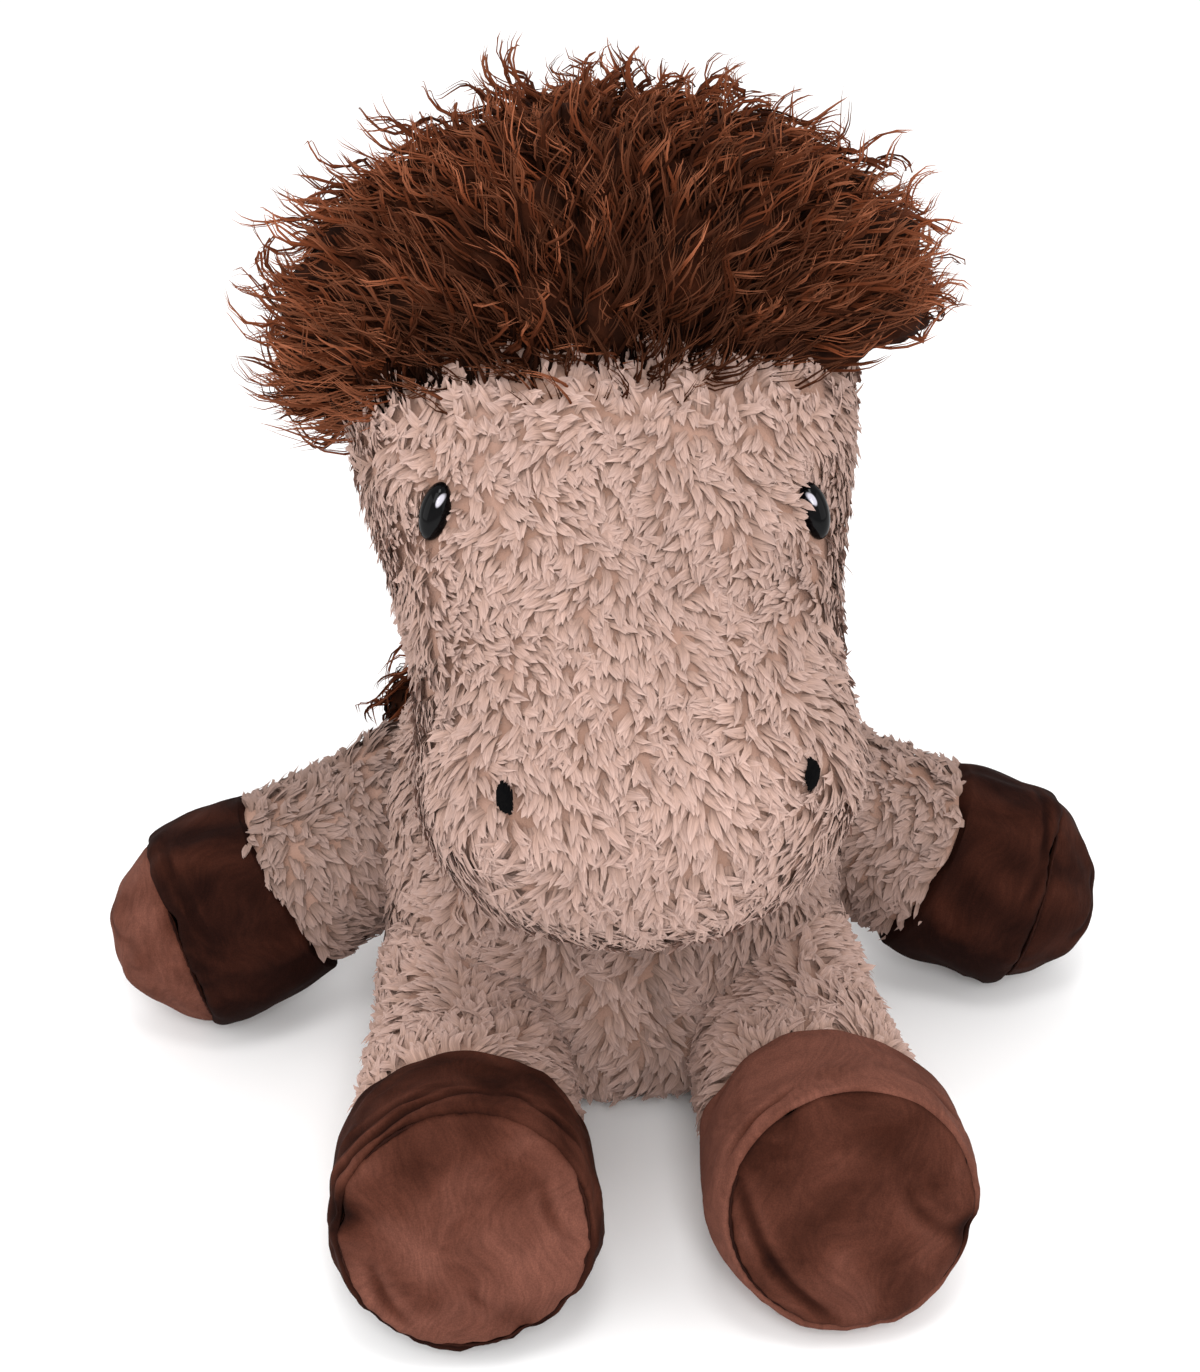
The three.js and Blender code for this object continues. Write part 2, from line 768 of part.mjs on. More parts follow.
function maneSolid(neck, ears) {
  const form = {
    ...MANE,
    bottom: MANE.hairline - MANE.under,
    top: HEAD.crown + MANE.crest,
    bottomCap: MANE.cap,
    topCap: MANE.cap,
    widthShares: MANE.shares,
    depthShares: MANE.shares,
  };
  const hair = solid(stuffed(form).translate(MANE.middleX, 0, 0));
  const head = solid(stuffed(headForm, -GAP.sewn));
  return cut(hair, solid(belowHairline()), head, neck, ...ears);
}

function makeHead() {
  const { turned, tipped } = headGroups();
  const toHead = tipped.matrixWorld.clone().invert();
  const over = neckHigh.z + NECK.radius + OVERRUN;
  const bore = solid(placed(neckColumn(neckBore, neckHigh.z, over), toHead));
  const plug = solid(placed(neckColumn(neckBore - GAP.filling, neckHigh.z, over), toHead));
  const neck = neckRoom(toHead, GAP.bend);
  const sides = [1, -1];
  const ears = sides.map((side) => moved(earSolid(GAP.sewn), earFrame(side)));
  const fitted = sides.flatMap((side) => [
    moved(eyeSolid(GAP.sewn), faceFrame(EYE, side)),
    moved(washerSolid(GAP.sewn), faceFrame(EYE, side)),
    moved(nostrilSolid(GAP.sewn), faceFrame(NOSTRIL, side)),
  ]);

  const inside = solid(stuffed(headForm, CLOTH.pile));
  const wall = neckRoom(toHead, GAP.bend + CLOTH.pile);
  const cavity = join(cut(inside, wall), bore.intersect(inside));
  const cover = cut(solid(stuffed(headForm)), neck, cavity, ...fitted, ...ears);

  const inset = CLOTH.pile + GAP.filling;
  const core = solid(stuffed(headForm, inset));
  const fillingWall = neckRoom(toHead, GAP.bend + inset);
  const whole = join(cut(core, fillingWall), cut(plug.intersect(core), neck));
  const filling = cut(whole, ...fitted, ...ears);
  tipped.add(
    piece("head_cover", cover, "plush"),
    piece("head_filling", filling, "filling"),
    piece("mane", maneSolid(neck, ears), "curls"),
  );

  for (const side of sides) {
    const add = (name, body, look, frame) => {
      const mesh = piece(`${name}_${side > 0 ? "left" : "right"}`, body, look);
      mesh.applyMatrix4(frame);
      tipped.add(mesh);
    };
    add("eye", eyeSolid(), "eye", faceFrame(EYE, side));
    add("eye_washer", washerSolid(), "washer", faceFrame(EYE, side));
    add("nostril", nostrilSolid(), "thread", faceFrame(NOSTRIL, side));
    add("ear", earSolid(), "plush", earFrame(side));
  }
  return turned;
}

const horse = new THREE.Group();
horse.name = "plush_horse";
horse.add(makeTorso(), makeNeck(), makeHead(), ...limbPlaces.map(makeLimb), makeTail());

export default horse;
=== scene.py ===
# %% [markdown]
# # A seated plush horse
#
# The toy is a pear of shaggy cloth with a big head, a curly mane and four stuffed limbs that end
# in hooves of short velvety cloth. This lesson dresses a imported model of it. The frame holds each
# sewn piece as a plain solid on the body that it moves with, and gives its true size and place.
#
# Everything is in metres, with +Z up. The horse faces -Y, so its own left is at +X.

import bpy
import numpy as np
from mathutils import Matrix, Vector


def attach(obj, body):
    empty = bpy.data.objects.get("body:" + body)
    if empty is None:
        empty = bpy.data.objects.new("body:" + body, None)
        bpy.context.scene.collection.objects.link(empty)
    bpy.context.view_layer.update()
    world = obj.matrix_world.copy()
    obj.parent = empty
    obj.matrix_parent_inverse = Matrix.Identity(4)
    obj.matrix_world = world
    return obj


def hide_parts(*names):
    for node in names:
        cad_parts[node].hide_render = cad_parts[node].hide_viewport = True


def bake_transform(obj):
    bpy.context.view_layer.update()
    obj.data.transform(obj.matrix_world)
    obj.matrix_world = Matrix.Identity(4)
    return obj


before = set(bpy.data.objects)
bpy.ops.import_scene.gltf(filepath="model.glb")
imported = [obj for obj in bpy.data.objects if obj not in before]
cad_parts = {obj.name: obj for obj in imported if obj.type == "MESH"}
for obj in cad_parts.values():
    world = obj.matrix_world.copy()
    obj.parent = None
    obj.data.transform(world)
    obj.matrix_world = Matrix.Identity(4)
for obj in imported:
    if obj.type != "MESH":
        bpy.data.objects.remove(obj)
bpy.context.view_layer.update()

# %% [markdown]
# ## The camera
#
# The toy is seen from the front and well above, so the big head hides most of the body. A long
# lens keeps the hooves, which are nearest, from growing too large. The camera is placed by the
# point that it looks at, two angles and a distance, because those are easy to read and to change.

# %% Camera
LOOK_AT = Vector((-0.006, -0.018, 0.178))
CAMERA = {"round": -4.8, "above": 32.0, "distance": 1.2, "lens": 75.04}


def add_camera():
    """Camera on a sphere round the point it looks at: two angles, in degrees, and a radius."""
    round_, above = np.radians([CAMERA["round"], CAMERA["above"]])
    back = Vector((np.sin(round_) * np.cos(above), -np.cos(round_) * np.cos(above), np.sin(above)))
    data = bpy.data.cameras.new("camera")
    data.lens = CAMERA["lens"]
    camera = bpy.data.objects.new("camera", data)
    camera.location = LOOK_AT + back * CAMERA["distance"]
    camera.rotation_mode = "QUATERNION"
    camera.rotation_quaternion = (-back).to_track_quat("-Z", "Y")
    bpy.context.scene.collection.objects.link(camera)
    bpy.context.scene.camera = camera
    return camera


print("camera at", [round(x, 3) for x in add_camera().location])

# %% [markdown]
# ## Turning arrays into meshes
#
# Each shape below is worked out with numpy, as whole arrays of points. One helper hands them to
# Blender. Besides points and faces it takes attributes, which are values kept at each point, such
# as how far along a strand it is. A material can read them and colour a root unlike a tip.

# %% Mesh helper


def add_mesh(name, points, faces, attributes=None, smooth=True, corners=None):
    """A mesh object from an (n, 3) array of points and arrays of faces of 3 or 4 corners each.

    corners is an (n, 2) array that lays the points out flat, as the map named OFBake.
    """
    mesh = bpy.data.meshes.new(name)
    points = np.asarray(points, np.float32).reshape(-1, 3)
    faces = [np.asarray(f, np.int32) for f in faces if len(f)]
    index = np.concatenate([f.ravel() for f in faces])
    sizes = np.concatenate([np.full(len(f), f.shape[1], np.int32) for f in faces])
    mesh.vertices.add(len(points))
    mesh.vertices.foreach_set("co", points.ravel())
    mesh.loops.add(len(index))
    mesh.loops.foreach_set("vertex_index", index)
    mesh.polygons.add(len(sizes))
    mesh.polygons.foreach_set("loop_start", np.concatenate([[0], np.cumsum(sizes)[:-1]]).astype(np.int32))
    mesh.polygons.foreach_set("loop_total", sizes)
    mesh.polygons.foreach_set("use_smooth", np.full(len(sizes), smooth))
    for key, values in (attributes or {}).items():
        values = np.asarray(values, np.float32)
        kind, field = ("FLOAT", "value") if values.ndim == 1 else ("FLOAT_VECTOR", "vector")
        mesh.attributes.new(key, kind, "POINT").data.foreach_set(field, values.ravel())
    if corners is not None:
        flat = np.asarray(corners, np.float32)[index]
        mesh.uv_layers.new(name="OFBake").data.foreach_set("uv", flat.ravel())
    mesh.update(calc_edges=True)
    piece = bpy.data.objects.new(name, mesh)
    bpy.context.scene.collection.objects.link(piece)
    return piece


# %% Faces of grids


def once_round(count):
    """Evenly spaced angles, once round."""
    return np.linspace(0, 2 * np.pi, count, endpoint=False)


def grid_faces(rows, columns):
    """Quads of a grid that closes round its columns, wound so that they face out of it."""
    row, column = np.meshgrid(np.arange(rows - 1), np.arange(columns), indexing="ij")
    after = (column + 1) % columns
    low, high = row * columns, (row + 1) * columns
    return np.stack([low + column, low + after, high + after, high + column], -1).reshape(-1, 4)


def ring_faces(rows, columns):
    """The same for a grid that closes both ways, whose last row meets its first."""
    column = np.arange(columns)
    after = (column + 1) % columns
    last = (rows - 1) * columns
    rim = np.stack([last + column, last + after, after, column], -1)
    return np.vstack([grid_faces(rows, columns), rim])


def closed_grid(points):
    """Points and faces of a (rows, columns, 3) grid, with a fan to a middle point at either end."""
    rows, columns, _ = points.shape
    flat = points.reshape(-1, 3)
    ends = np.stack([points[0].mean(0), points[-1].mean(0)])
    column = np.arange(columns)
    after = (column + 1) % columns
    bottom = np.stack([np.full(columns, len(flat)), after, column], -1)
    last = (rows - 1) * columns
    top = np.stack([np.full(columns, len(flat) + 1), last + column, last + after], -1)
    return np.vstack([flat, ends]), [grid_faces(rows, columns), np.vstack([bottom, top])]


# %% Finishing a piece


def volume_of(piece):
    """Signed volume: the sum over triangles of a . (b x c) / 6. It is positive if faces point out."""
    piece.data.calc_loop_triangles()
    count = len(piece.data.vertices)
    place = np.zeros(count * 3, np.float32)
    piece.data.vertices.foreach_get("co", place)
    place = place.reshape(-1, 3).astype(float)
    corner = np.zeros(len(piece.data.loop_triangles) * 3, np.int32)
    piece.data.loop_triangles.foreach_get("vertices", corner)
    a, b, c = (place[corner.reshape(-1, 3)[:, i]] for i in range(3))
    return float((a * np.cross(b, c)).sum() / 6)


def finished(piece, material):
    """Gives a piece its material and prints its size, so that each cell says what it made."""
    piece.data.materials.append(material)
    faces = len(piece.data.polygons)
    print(f"{piece.name}: {faces} faces, {volume_of(piece) * 1e6:.1f} cm3")
    return piece


# %% [markdown]
# ## Shapes that swell and taper
#
# A stuffed body has no flat sides. Its section is a rounded square that grows and shrinks along an
# axis, and each end is rounded like a cap. The frame's solids were made by this rule, so the cloth
# made here lies on the same surface, only much finer. The head is the same kind of form, tipped
# back.

# %% Forms of the torso and the head
TORSO = {
    "width": 0.204,
    "depth": 0.204,
    "bottom": -0.014,
    "top": 0.206,
    "bottom_cap": 0.048,
    "top_cap": 0.090,
    "squareness": 2.1,
    "width_shares": [0.92, 0.98, 1, 0.99, 0.95, 0.9, 0.82],
    "depth_shares": [0.92, 0.98, 1, 0.98, 0.93, 0.88, 0.82],
}
HEAD = {
    "width": 0.194,
    "depth": 0.142,
    "bottom": -0.151,
    "top": 0.137,
    "bottom_cap": 0.066,
    "top_cap": 0.072,
    "squareness": 2.35,
    "width_shares": [0.86, 0.875, 0.875, 0.855, 0.905, 0.985, 1.04, 1.05, 1.02],
    "depth_shares": [0.88, 0.94, 0.9, 0.88, 0.94, 1, 1, 0.98, 0.92],
}
MANE = {
    "width": 0.276,
    "depth": 0.200,
    "bottom": 0.020,
    "top": 0.193,
    "bottom_cap": 0.076,
    "top_cap": 0.076,
    "squareness": 2,
    "width_shares": [1, 1.02, 0.99, 0.87, 0.69],
    "depth_shares": [1, 1.02, 0.99, 0.87, 0.69],
}
MANE_SHIFT = np.array([0.006, 0, 0])
HAIRLINE, HAIRLINE_RISE = 0.050, 16.0  # height in the head's frame, and degrees of its rise
NECK_LOW = np.array([0, -0.018, 0.156])
NECK_HIGH = np.array([0, -0.018, 0.260])
NECK_RADIUS = 0.050
HEAD_OFFSET = (-0.008, -0.062, 0.015)
HEAD_TURN, HEAD_TILT = 3.0, 45.0
SEAT_HEIGHT = 0.0006  # how far the cloth stays above the floor


# %% Reading a form


def read_shares(shares, t):
    """A Catmull-Rom curve through evenly spaced shares, read at t from 0 to 1."""
    shares = np.asarray(shares, float)
    last = len(shares) - 1
    along = np.clip(t, 0, 1) * last
    i = np.minimum(along.astype(int), last - 1)
    w = along - i
    before, at = shares[np.maximum(i - 1, 0)], shares[i]
    after, beyond = shares[i + 1], shares[np.minimum(i + 2, last)]
    v0, v1 = (after - before) / 2, (beyond - at) / 2
    cubic = (2 * at - 2 * after + v0 + v1) * w**3
    return cubic + (3 * after - 3 * at - 2 * v0 - v1) * w**2 + v0 * w + at


def rounded_end(distance, cap):
    """0 at a tip and 1 past its cap, along a quarter of an ellipse."""
    return np.sqrt(1 - (1 - np.clip(distance / cap, 0, 1)) ** 2)


def half_sizes(form, z, inset=0.0):
    """Half width and half depth of a form's section at a height, drawn in by an inset."""
    t = (z - form["bottom"]) / (form["top"] - form["bottom"])
    low = rounded_end(z - form["bottom"] - inset, form["bottom_cap"] - inset)
    high = rounded_end(form["top"] - inset - z, form["top_cap"] - inset)
    width = form["width"] / 2 * read_shares(form["width_shares"], t) - inset
    depth = form["depth"] / 2 * read_shares(form["depth_shares"], t) - inset
    return width * low * high, depth * low * high


def at_height(form, z, angle, inset=0.0):
    """A form's surface at heights and angles: |x/a|^n + |y/b|^n = 1, written with powers of cos and sin."""
    a, b = half_sizes(form, z, inset)
    power = 2 / form["squareness"]
    c, s = np.cos(angle), np.sin(angle)
    x = a * np.sign(c) * np.abs(c) ** power
    y = b * np.sign(s) * np.abs(s) ** power
    return np.stack(np.broadcast_arrays(x, y, z), -1)


def on_form(form, share, angle, inset=0.0):
    """The same by a share from pole to pole, which bunches the rings towards both poles."""
    low, high = form["bottom"] + inset, form["top"] - inset
    z = low + (high - low) * (1 - np.cos(np.pi * share)) / 2
    return at_height(form, z, angle, inset)


def turn_matrix(axis, degrees):
    """A 3 x 3 matrix that turns about the x, y or z axis."""
    c, s = np.cos(np.radians(degrees)), np.sin(np.radians(degrees))
    i, j = {"x": (1, 2), "y": (2, 0), "z": (0, 1)}[axis]
    turn = np.eye(3)
    turn[i, i] = turn[j, j] = c
    turn[i, j], turn[j, i] = -s, s
    return turn


# %% The cloth of the head, the torso and the neck
HEAD_AXES = turn_matrix("z", HEAD_TURN) @ turn_matrix("x", -HEAD_TILT)
HEAD_MIDDLE = NECK_HIGH + turn_matrix("z", HEAD_TURN) @ np.array(HEAD_OFFSET)


def to_head(points):
    """From the head's own frame, whose Z runs up to the crown, to the row frame."""
    return points @ HEAD_AXES.T + HEAD_MIDDLE


def head_surface(share, angle, inset=0.0):
    """The head's cloth in the row frame."""
    return to_head(on_form(HEAD, share, angle, inset))


def torso_surface(share, angle, inset=0.0):
    """The torso's cloth, its round bottom pressed flat by the floor."""
    points = on_form(TORSO, share, angle, inset)
    points[..., 2] = np.maximum(points[..., 2], SEAT_HEIGHT)
    return points


def neck_surface(share, angle, inset=0.0):
    """A column with a half ball at either end: up one ball, along the column, and up the other."""
    radius = NECK_RADIUS - inset
    bend = np.where(share < 0.5, np.minimum(share / 0.3, 1), np.maximum((share - 0.4) / 0.3, 1))
    rise = np.clip((share - 0.3) / 0.4, 0, 1)
    ring = radius * np.sin(bend * np.pi / 2)
    z = NECK_LOW[2] + (NECK_HIGH[2] - NECK_LOW[2]) * rise - radius * np.cos(bend * np.pi / 2)
    points = np.broadcast_arrays(ring * np.cos(angle), ring * np.sin(angle) + NECK_LOW[1], z)
    return np.stack(points, -1)


# %% [markdown]
# ## Limbs
#
# A limb is turned like a table leg, from a ball in the torso to the sole, and its axis is then bent
# into an arc, which tips the sole up. The legs are the frame's own. The frame's arms point 15 mm
# further back at their ends and have flatter soles. Cloth gives, so these arms are drawn round to
# the front and their arc leans a little, which shows the soles as the toy does when it sits.

# %% Limbs
LEG = {
    "root": (0.066, -0.050, 0.049),
    "reach": (0.009, -0.177, 0.015),
    "ball": 0.040,
    "sleeve": 0.048,
    "hoof": 0.053,
    "hoof_length": 0.060,
    "bulge": 0.007,
    "bend": 30.0,
    "lean": 0.0,
}
ARM = {
    "root": (0.090, 0.016, 0.100),
    "reach": (0.131, -0.019, -0.060),
    "ball": 0.036,
    "sleeve": 0.043,
    "hoof": 0.046,
    "hoof_length": 0.052,
    "bulge": 0.027,
    "bend": 36.0,
    "lean": 18.0,
}
SIDES = {"left": 1, "right": -1}
HOOF_CLOTH = 0.004
SWELL_SHARES = [0, 0.25, 0.75, 1]
LIMBS = {
    "leg_left": (LEG, 1),
    "leg_right": (LEG, -1),
    "arm_left": (ARM, 1),
    "arm_right": (ARM, -1),
}


# %% Bending a limb


def limb_lengths(limb):
    """Lengths along the bent axis: the whole arc, the hoof's end and the sleeve's end."""
    half = np.radians(limb["bend"] / 2)
    whole = np.linalg.norm(limb["reach"]) * half / np.sin(half)
    hoof_end = whole - limb["bulge"] - HOOF_CLOTH
    return whole, hoof_end, hoof_end - limb["hoof_length"]


def limb_axes(limb, side):
    """Where a limb starts, and a matrix whose columns are its own x, y and z, with z to the sole
    and y, the way it bends, turned from upwards to the front by its lean."""
    mirror = np.array([side, 1, 1])
    along = np.array(limb["reach"]) * mirror
    along = along / np.linalg.norm(along)
    across = np.cross([0, 0, 1], along)
    across = across / np.linalg.norm(across)
    axes = np.stack([across, np.cross(along, across), along], -1)
    return np.array(limb["root"]) * mirror, axes @ turn_matrix("z", side * limb["lean"])


def place_on_limb(limb, side, radius, height, angle):
    """Bends a turned shape: a point at radius and angle round the axis, height along it, goes to
    the same place round an arc of the whole bend, and then to where the limb is sewn."""
    whole, _, _ = limb_lengths(limb)
    bend = np.radians(limb["bend"])
    arc = whole / bend
    x, y = radius * np.cos(angle), radius * np.sin(angle)
    along = np.maximum(height, 0)
    turned = bend * (along / whole - 0.5)
    s, c = np.sin(turned), np.cos(turned)
    rise = arc * (np.cos(bend / 2) - c) + y * c + (height - along) * s
    reach = arc * (s + np.sin(bend / 2)) - y * s + (height - along) * c
    root, axes = limb_axes(limb, side)
    points = np.stack(np.broadcast_arrays(x, rise, reach), -1) @ axes.T + root
    points[..., 2] = np.maximum(points[..., 2], SEAT_HEIGHT)
    return points


def sleeve_surface(limb, side):
    """A function of share and angle: half a ball, then a sleeve that widens to the hoof."""
    _, _, sleeve_end = limb_lengths(limb)
    ball_share = 0.25

    def surface(share, angle, inset=0.0):
        up = np.clip(share / ball_share, 0, 1) * np.pi / 2
        t = np.clip((share - ball_share) / (1 - ball_share), 0, 1)
        tube = limb["ball"] + (limb["sleeve"] - limb["ball"]) * read_shares(SWELL_SHARES, t)
        ball = limb["ball"] - inset
        radius = np.where(share < ball_share, ball * np.sin(up), tube - inset)
        height = np.where(share < ball_share, -ball * np.cos(up), t * sleeve_end)
        return place_on_limb(limb, side, radius, height, angle)

    return surface


# %% [markdown]
# ## Finishes
#
# The body cloth is a shaggy pile: matted locks a centimetre long, pale at their tips and brown
# where light doesn't reach. Its colour follows three values kept on the strands. `along` runs from
# root to tip, `tone` differs from lock to lock, and `grain` lays fine fibres along each strand. So
# the pattern stays on the hair, however the toy is posed. A fourth, `nap`, is the way that the
# cloth faces under a strand: hair that lies flat is lit as its cloth is.

# %% Node helpers


def new_material(name):
    """A material with a Principled shader, and short ways to add and join nodes."""
    material = bpy.data.materials.new(name)
    material.use_nodes = True
    tree = material.node_tree
    shader = tree.nodes["Principled BSDF"]

    def node(kind, inputs=None, **settings):
        made = tree.nodes.new(kind)
        for key, value in settings.items():
            setattr(made, key, value)
        for key, value in (inputs or {}).items():
            if isinstance(value, bpy.types.NodeSocket):
                tree.links.new(value, made.inputs[key])
            else:
                made.inputs[key].default_value = value
        return made

    return material, shader, node, tree.links.new


def colour(red, green, blue):
    """A colour as a screen shows it, from 0 to 255, made linear for the shader."""
    screen = np.array([red, green, blue]) / 255
    linear = np.where(screen <= 0.04045, screen / 12.92, ((screen + 0.055) / 1.055) ** 2.4)
    return (*linear.tolist(), 1.0)


def ramp(node, factor, stops):
    """A colour ramp through (place, colour) stops."""
    made = node("ShaderNodeValToRGB", {"Fac": factor})
    elements = made.color_ramp.elements
    while len(elements) < len(stops):
        elements.new(0.5)
    for element, (place, tint) in zip(elements, stops):
        element.position = place
        element.color = tint
    return made.outputs["Color"]


def times(node, tint, factor):
    """A colour multiplied by a grey value."""
    grey = node("ShaderNodeCombineColor", {"Red": factor, "Green": factor, "Blue": factor})
    inputs = {"Factor": 1.0, 6: tint, 7: grey.outputs["Color"]}
    return node("ShaderNodeMix", inputs, data_type="RGBA", blend_type="MULTIPLY").outputs[2]


def ranged(node, value, low, high, start=0.0, end=1.0):
    """A value from start to end, moved to run from low to high."""
    inputs = {"Value": value, "From Min": start, "From Max": end, "To Min": low, "To Max": high}
    return node("ShaderNodeMapRange", inputs).outputs["Result"]


def mottled(node, tint, value, low, high):
    """A colour times low to high, by a noise whose values lie mostly between 0.3 and 0.7."""
    return times(node, tint, ranged(node, value, low, high, 0.3, 0.7))


def kept(node, key, output="Fac"):
    """A value that the mesh keeps at each point."""
    return node("ShaderNodeAttribute", attribute_name=key).outputs[output]


def on_object(node):
    """A place in the piece's own metres."""
    return node("ShaderNodeTexCoord").outputs["Object"]


def noise(node, place, scale, detail=2.0, **inputs):
    """Smooth noise from 0 to 1, `scale` waves to a unit of the place."""
    inputs |= {"Vector": place, "Scale": scale, "Detail": detail}
    return node("ShaderNodeTexNoise", inputs).outputs["Fac"]


def bump(node, height, strength, distance, **inputs):
    """A normal tilted by a height, as by a relief that is `distance` metres deep."""
    inputs |= {"Height": height, "Strength": strength, "Distance": distance}
    return node("ShaderNodeBump", inputs).outputs["Normal"]


def vector_math(node, operation, first, second=None):
    """A sum, product, length or the like of one or two vectors."""
    inputs = {0: first} if second is None else {0: first, 1: second}
    made = node("ShaderNodeVectorMath", inputs, operation=operation)
    return made.outputs["Value" if operation in ("LENGTH", "DOT_PRODUCT") else "Vector"]


# %% Hair materials


def hair_material(name, stops, tones, roughness, even, shine, fibre=0.35, patch=6.0):
    """Root to tip by a ramp, darker and lighter locks, broad soft patches and fine fibres. Hair
    scatters light, so a strand is shaded by the share `even` as the cloth under it would be, less
    where it stands out of the cloth."""
    material, shader, node, link = new_material(name)
    fibres = noise(node, kept(node, "grain", "Vector"), 1.0, 3.0)
    patches = noise(node, on_object(node), patch)
    tint = ramp(node, kept(node, "along"), stops)
    tint = times(node, tint, ranged(node, kept(node, "tone"), *tones))
    tint = mottled(node, tint, fibres, 0.76, 1.16)
    tint = mottled(node, tint, patches, 0.9, 1.08)
    link(tint, shader.inputs["Base Color"])
    rough = ranged(node, fibres, roughness - 0.08, roughness + 0.08, 0.3, 0.7)
    link(rough, shader.inputs["Roughness"])
    shader.inputs["Specular IOR Level"].default_value = shine
    own = bump(node, fibres, fibre, 0.0006)
    nap = kept(node, "nap", "Vector")
    settings = {"vector_type": "NORMAL", "convert_from": "OBJECT", "convert_to": "WORLD"}
    cloth = node("ShaderNodeVectorTransform", {"Vector": nap}, **settings).outputs["Vector"]
    share = ranged(node, vector_math(node, "DOT_PRODUCT", own, cloth), 0.0, even, -0.4, 0.5)
    mixed = node("ShaderNodeMix", {0: share, 4: own, 5: cloth}, data_type="VECTOR")
    link(vector_math(node, "NORMALIZE", mixed.outputs[1]), shader.inputs["Normal"])
    return material


# Painted shade: the pile darkens towards its roots, where the locks shade each other.
PILE_STOPS = [
    (0.0, colour(156, 125, 111)),
    (0.3, colour(167, 137, 124)),
    (0.65, colour(175, 146, 135)),
    (1.0, colour(180, 153, 143)),
]
# Painted shade: the curls go near black towards their roots, where the tangle is in shade.
CURL_STOPS = [
    (0.0, colour(14, 5, 2)),
    (0.4, colour(36, 15, 7)),
    (0.75, colour(84, 42, 24)),
    (1.0, colour(122, 74, 52)),
]
plush_pile = hair_material("plush_pile", PILE_STOPS, (0.5, 1.1), 0.85, 0.8, 0.1)
curly_hair = hair_material("curly_hair", CURL_STOPS, (0.3, 1.9), 0.7, 0.3, 0.02)

# %% [markdown]
# Between the locks the eye falls on the knitted backing and the roots, which the locks shade. So the skins
# that carry the pile are a darker, duller brown, painted shade, with a fine knit in their bump.

# %% Backing material


def backing_material(name, dark, light):
    """A knitted backing: a fine cell pattern over soft patches of two colours."""
    material, shader, node, link = new_material(name)
    place = on_object(node)
    patches = noise(node, place, 60.0, 4.0)
    knit = node("ShaderNodeTexVoronoi", {"Vector": place, "Scale": 900.0}).outputs["Distance"]
    link(ramp(node, patches, [(0.35, dark), (0.65, light)]), shader.inputs["Base Color"])
    link(bump(node, knit, 0.4, 0.0004), shader.inputs["Normal"])
    link(ranged(node, patches, 0.85, 0.98), shader.inputs["Roughness"])
    shader.inputs["Specular IOR Level"].default_value = 0.05
    return material


# Painted shade: the skins' darker brown stands for the shade between the locks.
backing_painted_shade = backing_material("backing_painted_shade", colour(144, 112, 97), colour(160, 128, 114))
# Painted shade: the near-black core stands for the shade inside the mane's tangle.
tangle_painted_shade = backing_material("tangle_painted_shade", colour(24, 9, 4), colour(52, 24, 12))

# %% [markdown]
# The hooves are of short velvety cloth. Stroked one way it catches the light pale, and the other way dark,
# and this sheen is painted into its colour, so one cloth gives a dark cuff and a pale sole. How pale the
# painted sheen is at each place is kept on the mesh, from 0 for dark to 1 for pale, and soft-edged noise
# and fine streaks are added to it.

# %% Hoof cloth


def velvet_material(name, stops):
    """Brushed velvet: a ramp over its painted sheen and shade, and bent noise, thin streaks, and a fine
    pile bump.
    """
    material, shader, node, link = new_material(name)
    place = on_object(node)
    bend = node("ShaderNodeTexNoise", {"Vector": place, "Scale": 14.0, "Detail": 2.0}).outputs["Color"]
    moved = vector_math(node, "ADD", place, vector_math(node, "MULTIPLY", bend, (0.09, 0.09, 0.09)))
    patches = noise(node, moved, 30.0, 3.0, Roughness=0.55)
    added = ranged(node, patches, -0.16, 0.16, 0.3, 0.7)
    # The painted sheen and shade kept on the mesh, plus soft random patches.
    lie = node("ShaderNodeMath", {0: kept(node, "painted_sheen_and_shade"), 1: added})
    stretch = node("ShaderNodeMapping", {"Vector": moved, "Scale": (1.0, 0.3, 0.22)})
    streaks = noise(node, stretch.outputs["Vector"], 520.0)
    pile = noise(node, place, 1500.0)
    tint = mottled(node, ramp(node, lie.outputs[0], stops), streaks, 0.86, 1.14)
    tint = mottled(node, tint, pile, 0.84, 1.14)
    link(tint, shader.inputs["Base Color"])
    link(ranged(node, patches, 0.92, 0.8), shader.inputs["Roughness"])
    shader.inputs["Specular IOR Level"].default_value = 0.04
    rows = bump(node, streaks, 0.25, 0.0006, Normal=bump(node, pile, 0.3, 0.0004))
    link(rows, shader.inputs["Normal"])
    return material


VELVET_STOPS = [
    (0.0, colour(28, 11, 7)),
    (0.3, colour(50, 24, 16)),
    (0.6, colour(74, 41, 31)),
    (1.0, colour(102, 63, 52)),
]
hoof_velvet = velvet_material("hoof_velvet", VELVET_STOPS)
seam_thread = backing_material("seam_thread", colour(30, 13, 9), colour(48, 24, 17))

# %% [markdown]
# ## Skins
#
# Under the pile is a smooth bag of cloth for each stuffed part. It lies 4 mm inside the frame's
# solid, and the locks lie flat on it, so that their tips end up about on the true surface.

# %% Making and dressing a skin
SKIN_DEPTH = 0.0040  # of the skin under the frame's surface


def bag_grid(rows, columns):
    """Shares from near one pole to near the other, as a column, and angles once round, as a row."""
    return np.linspace(0.012, 0.988, rows)[:, None], once_round(columns)[None, :]


def skin(name, surface, grid, inset=SKIN_DEPTH):
    """A closed bag: the surface read on a grid of shares and angles, with its poles closed."""
    points, faces = closed_grid(surface(*bag_grid(*grid), inset))
    piece = add_mesh(name, points, faces)
    return finished(piece, backing_painted_shade)


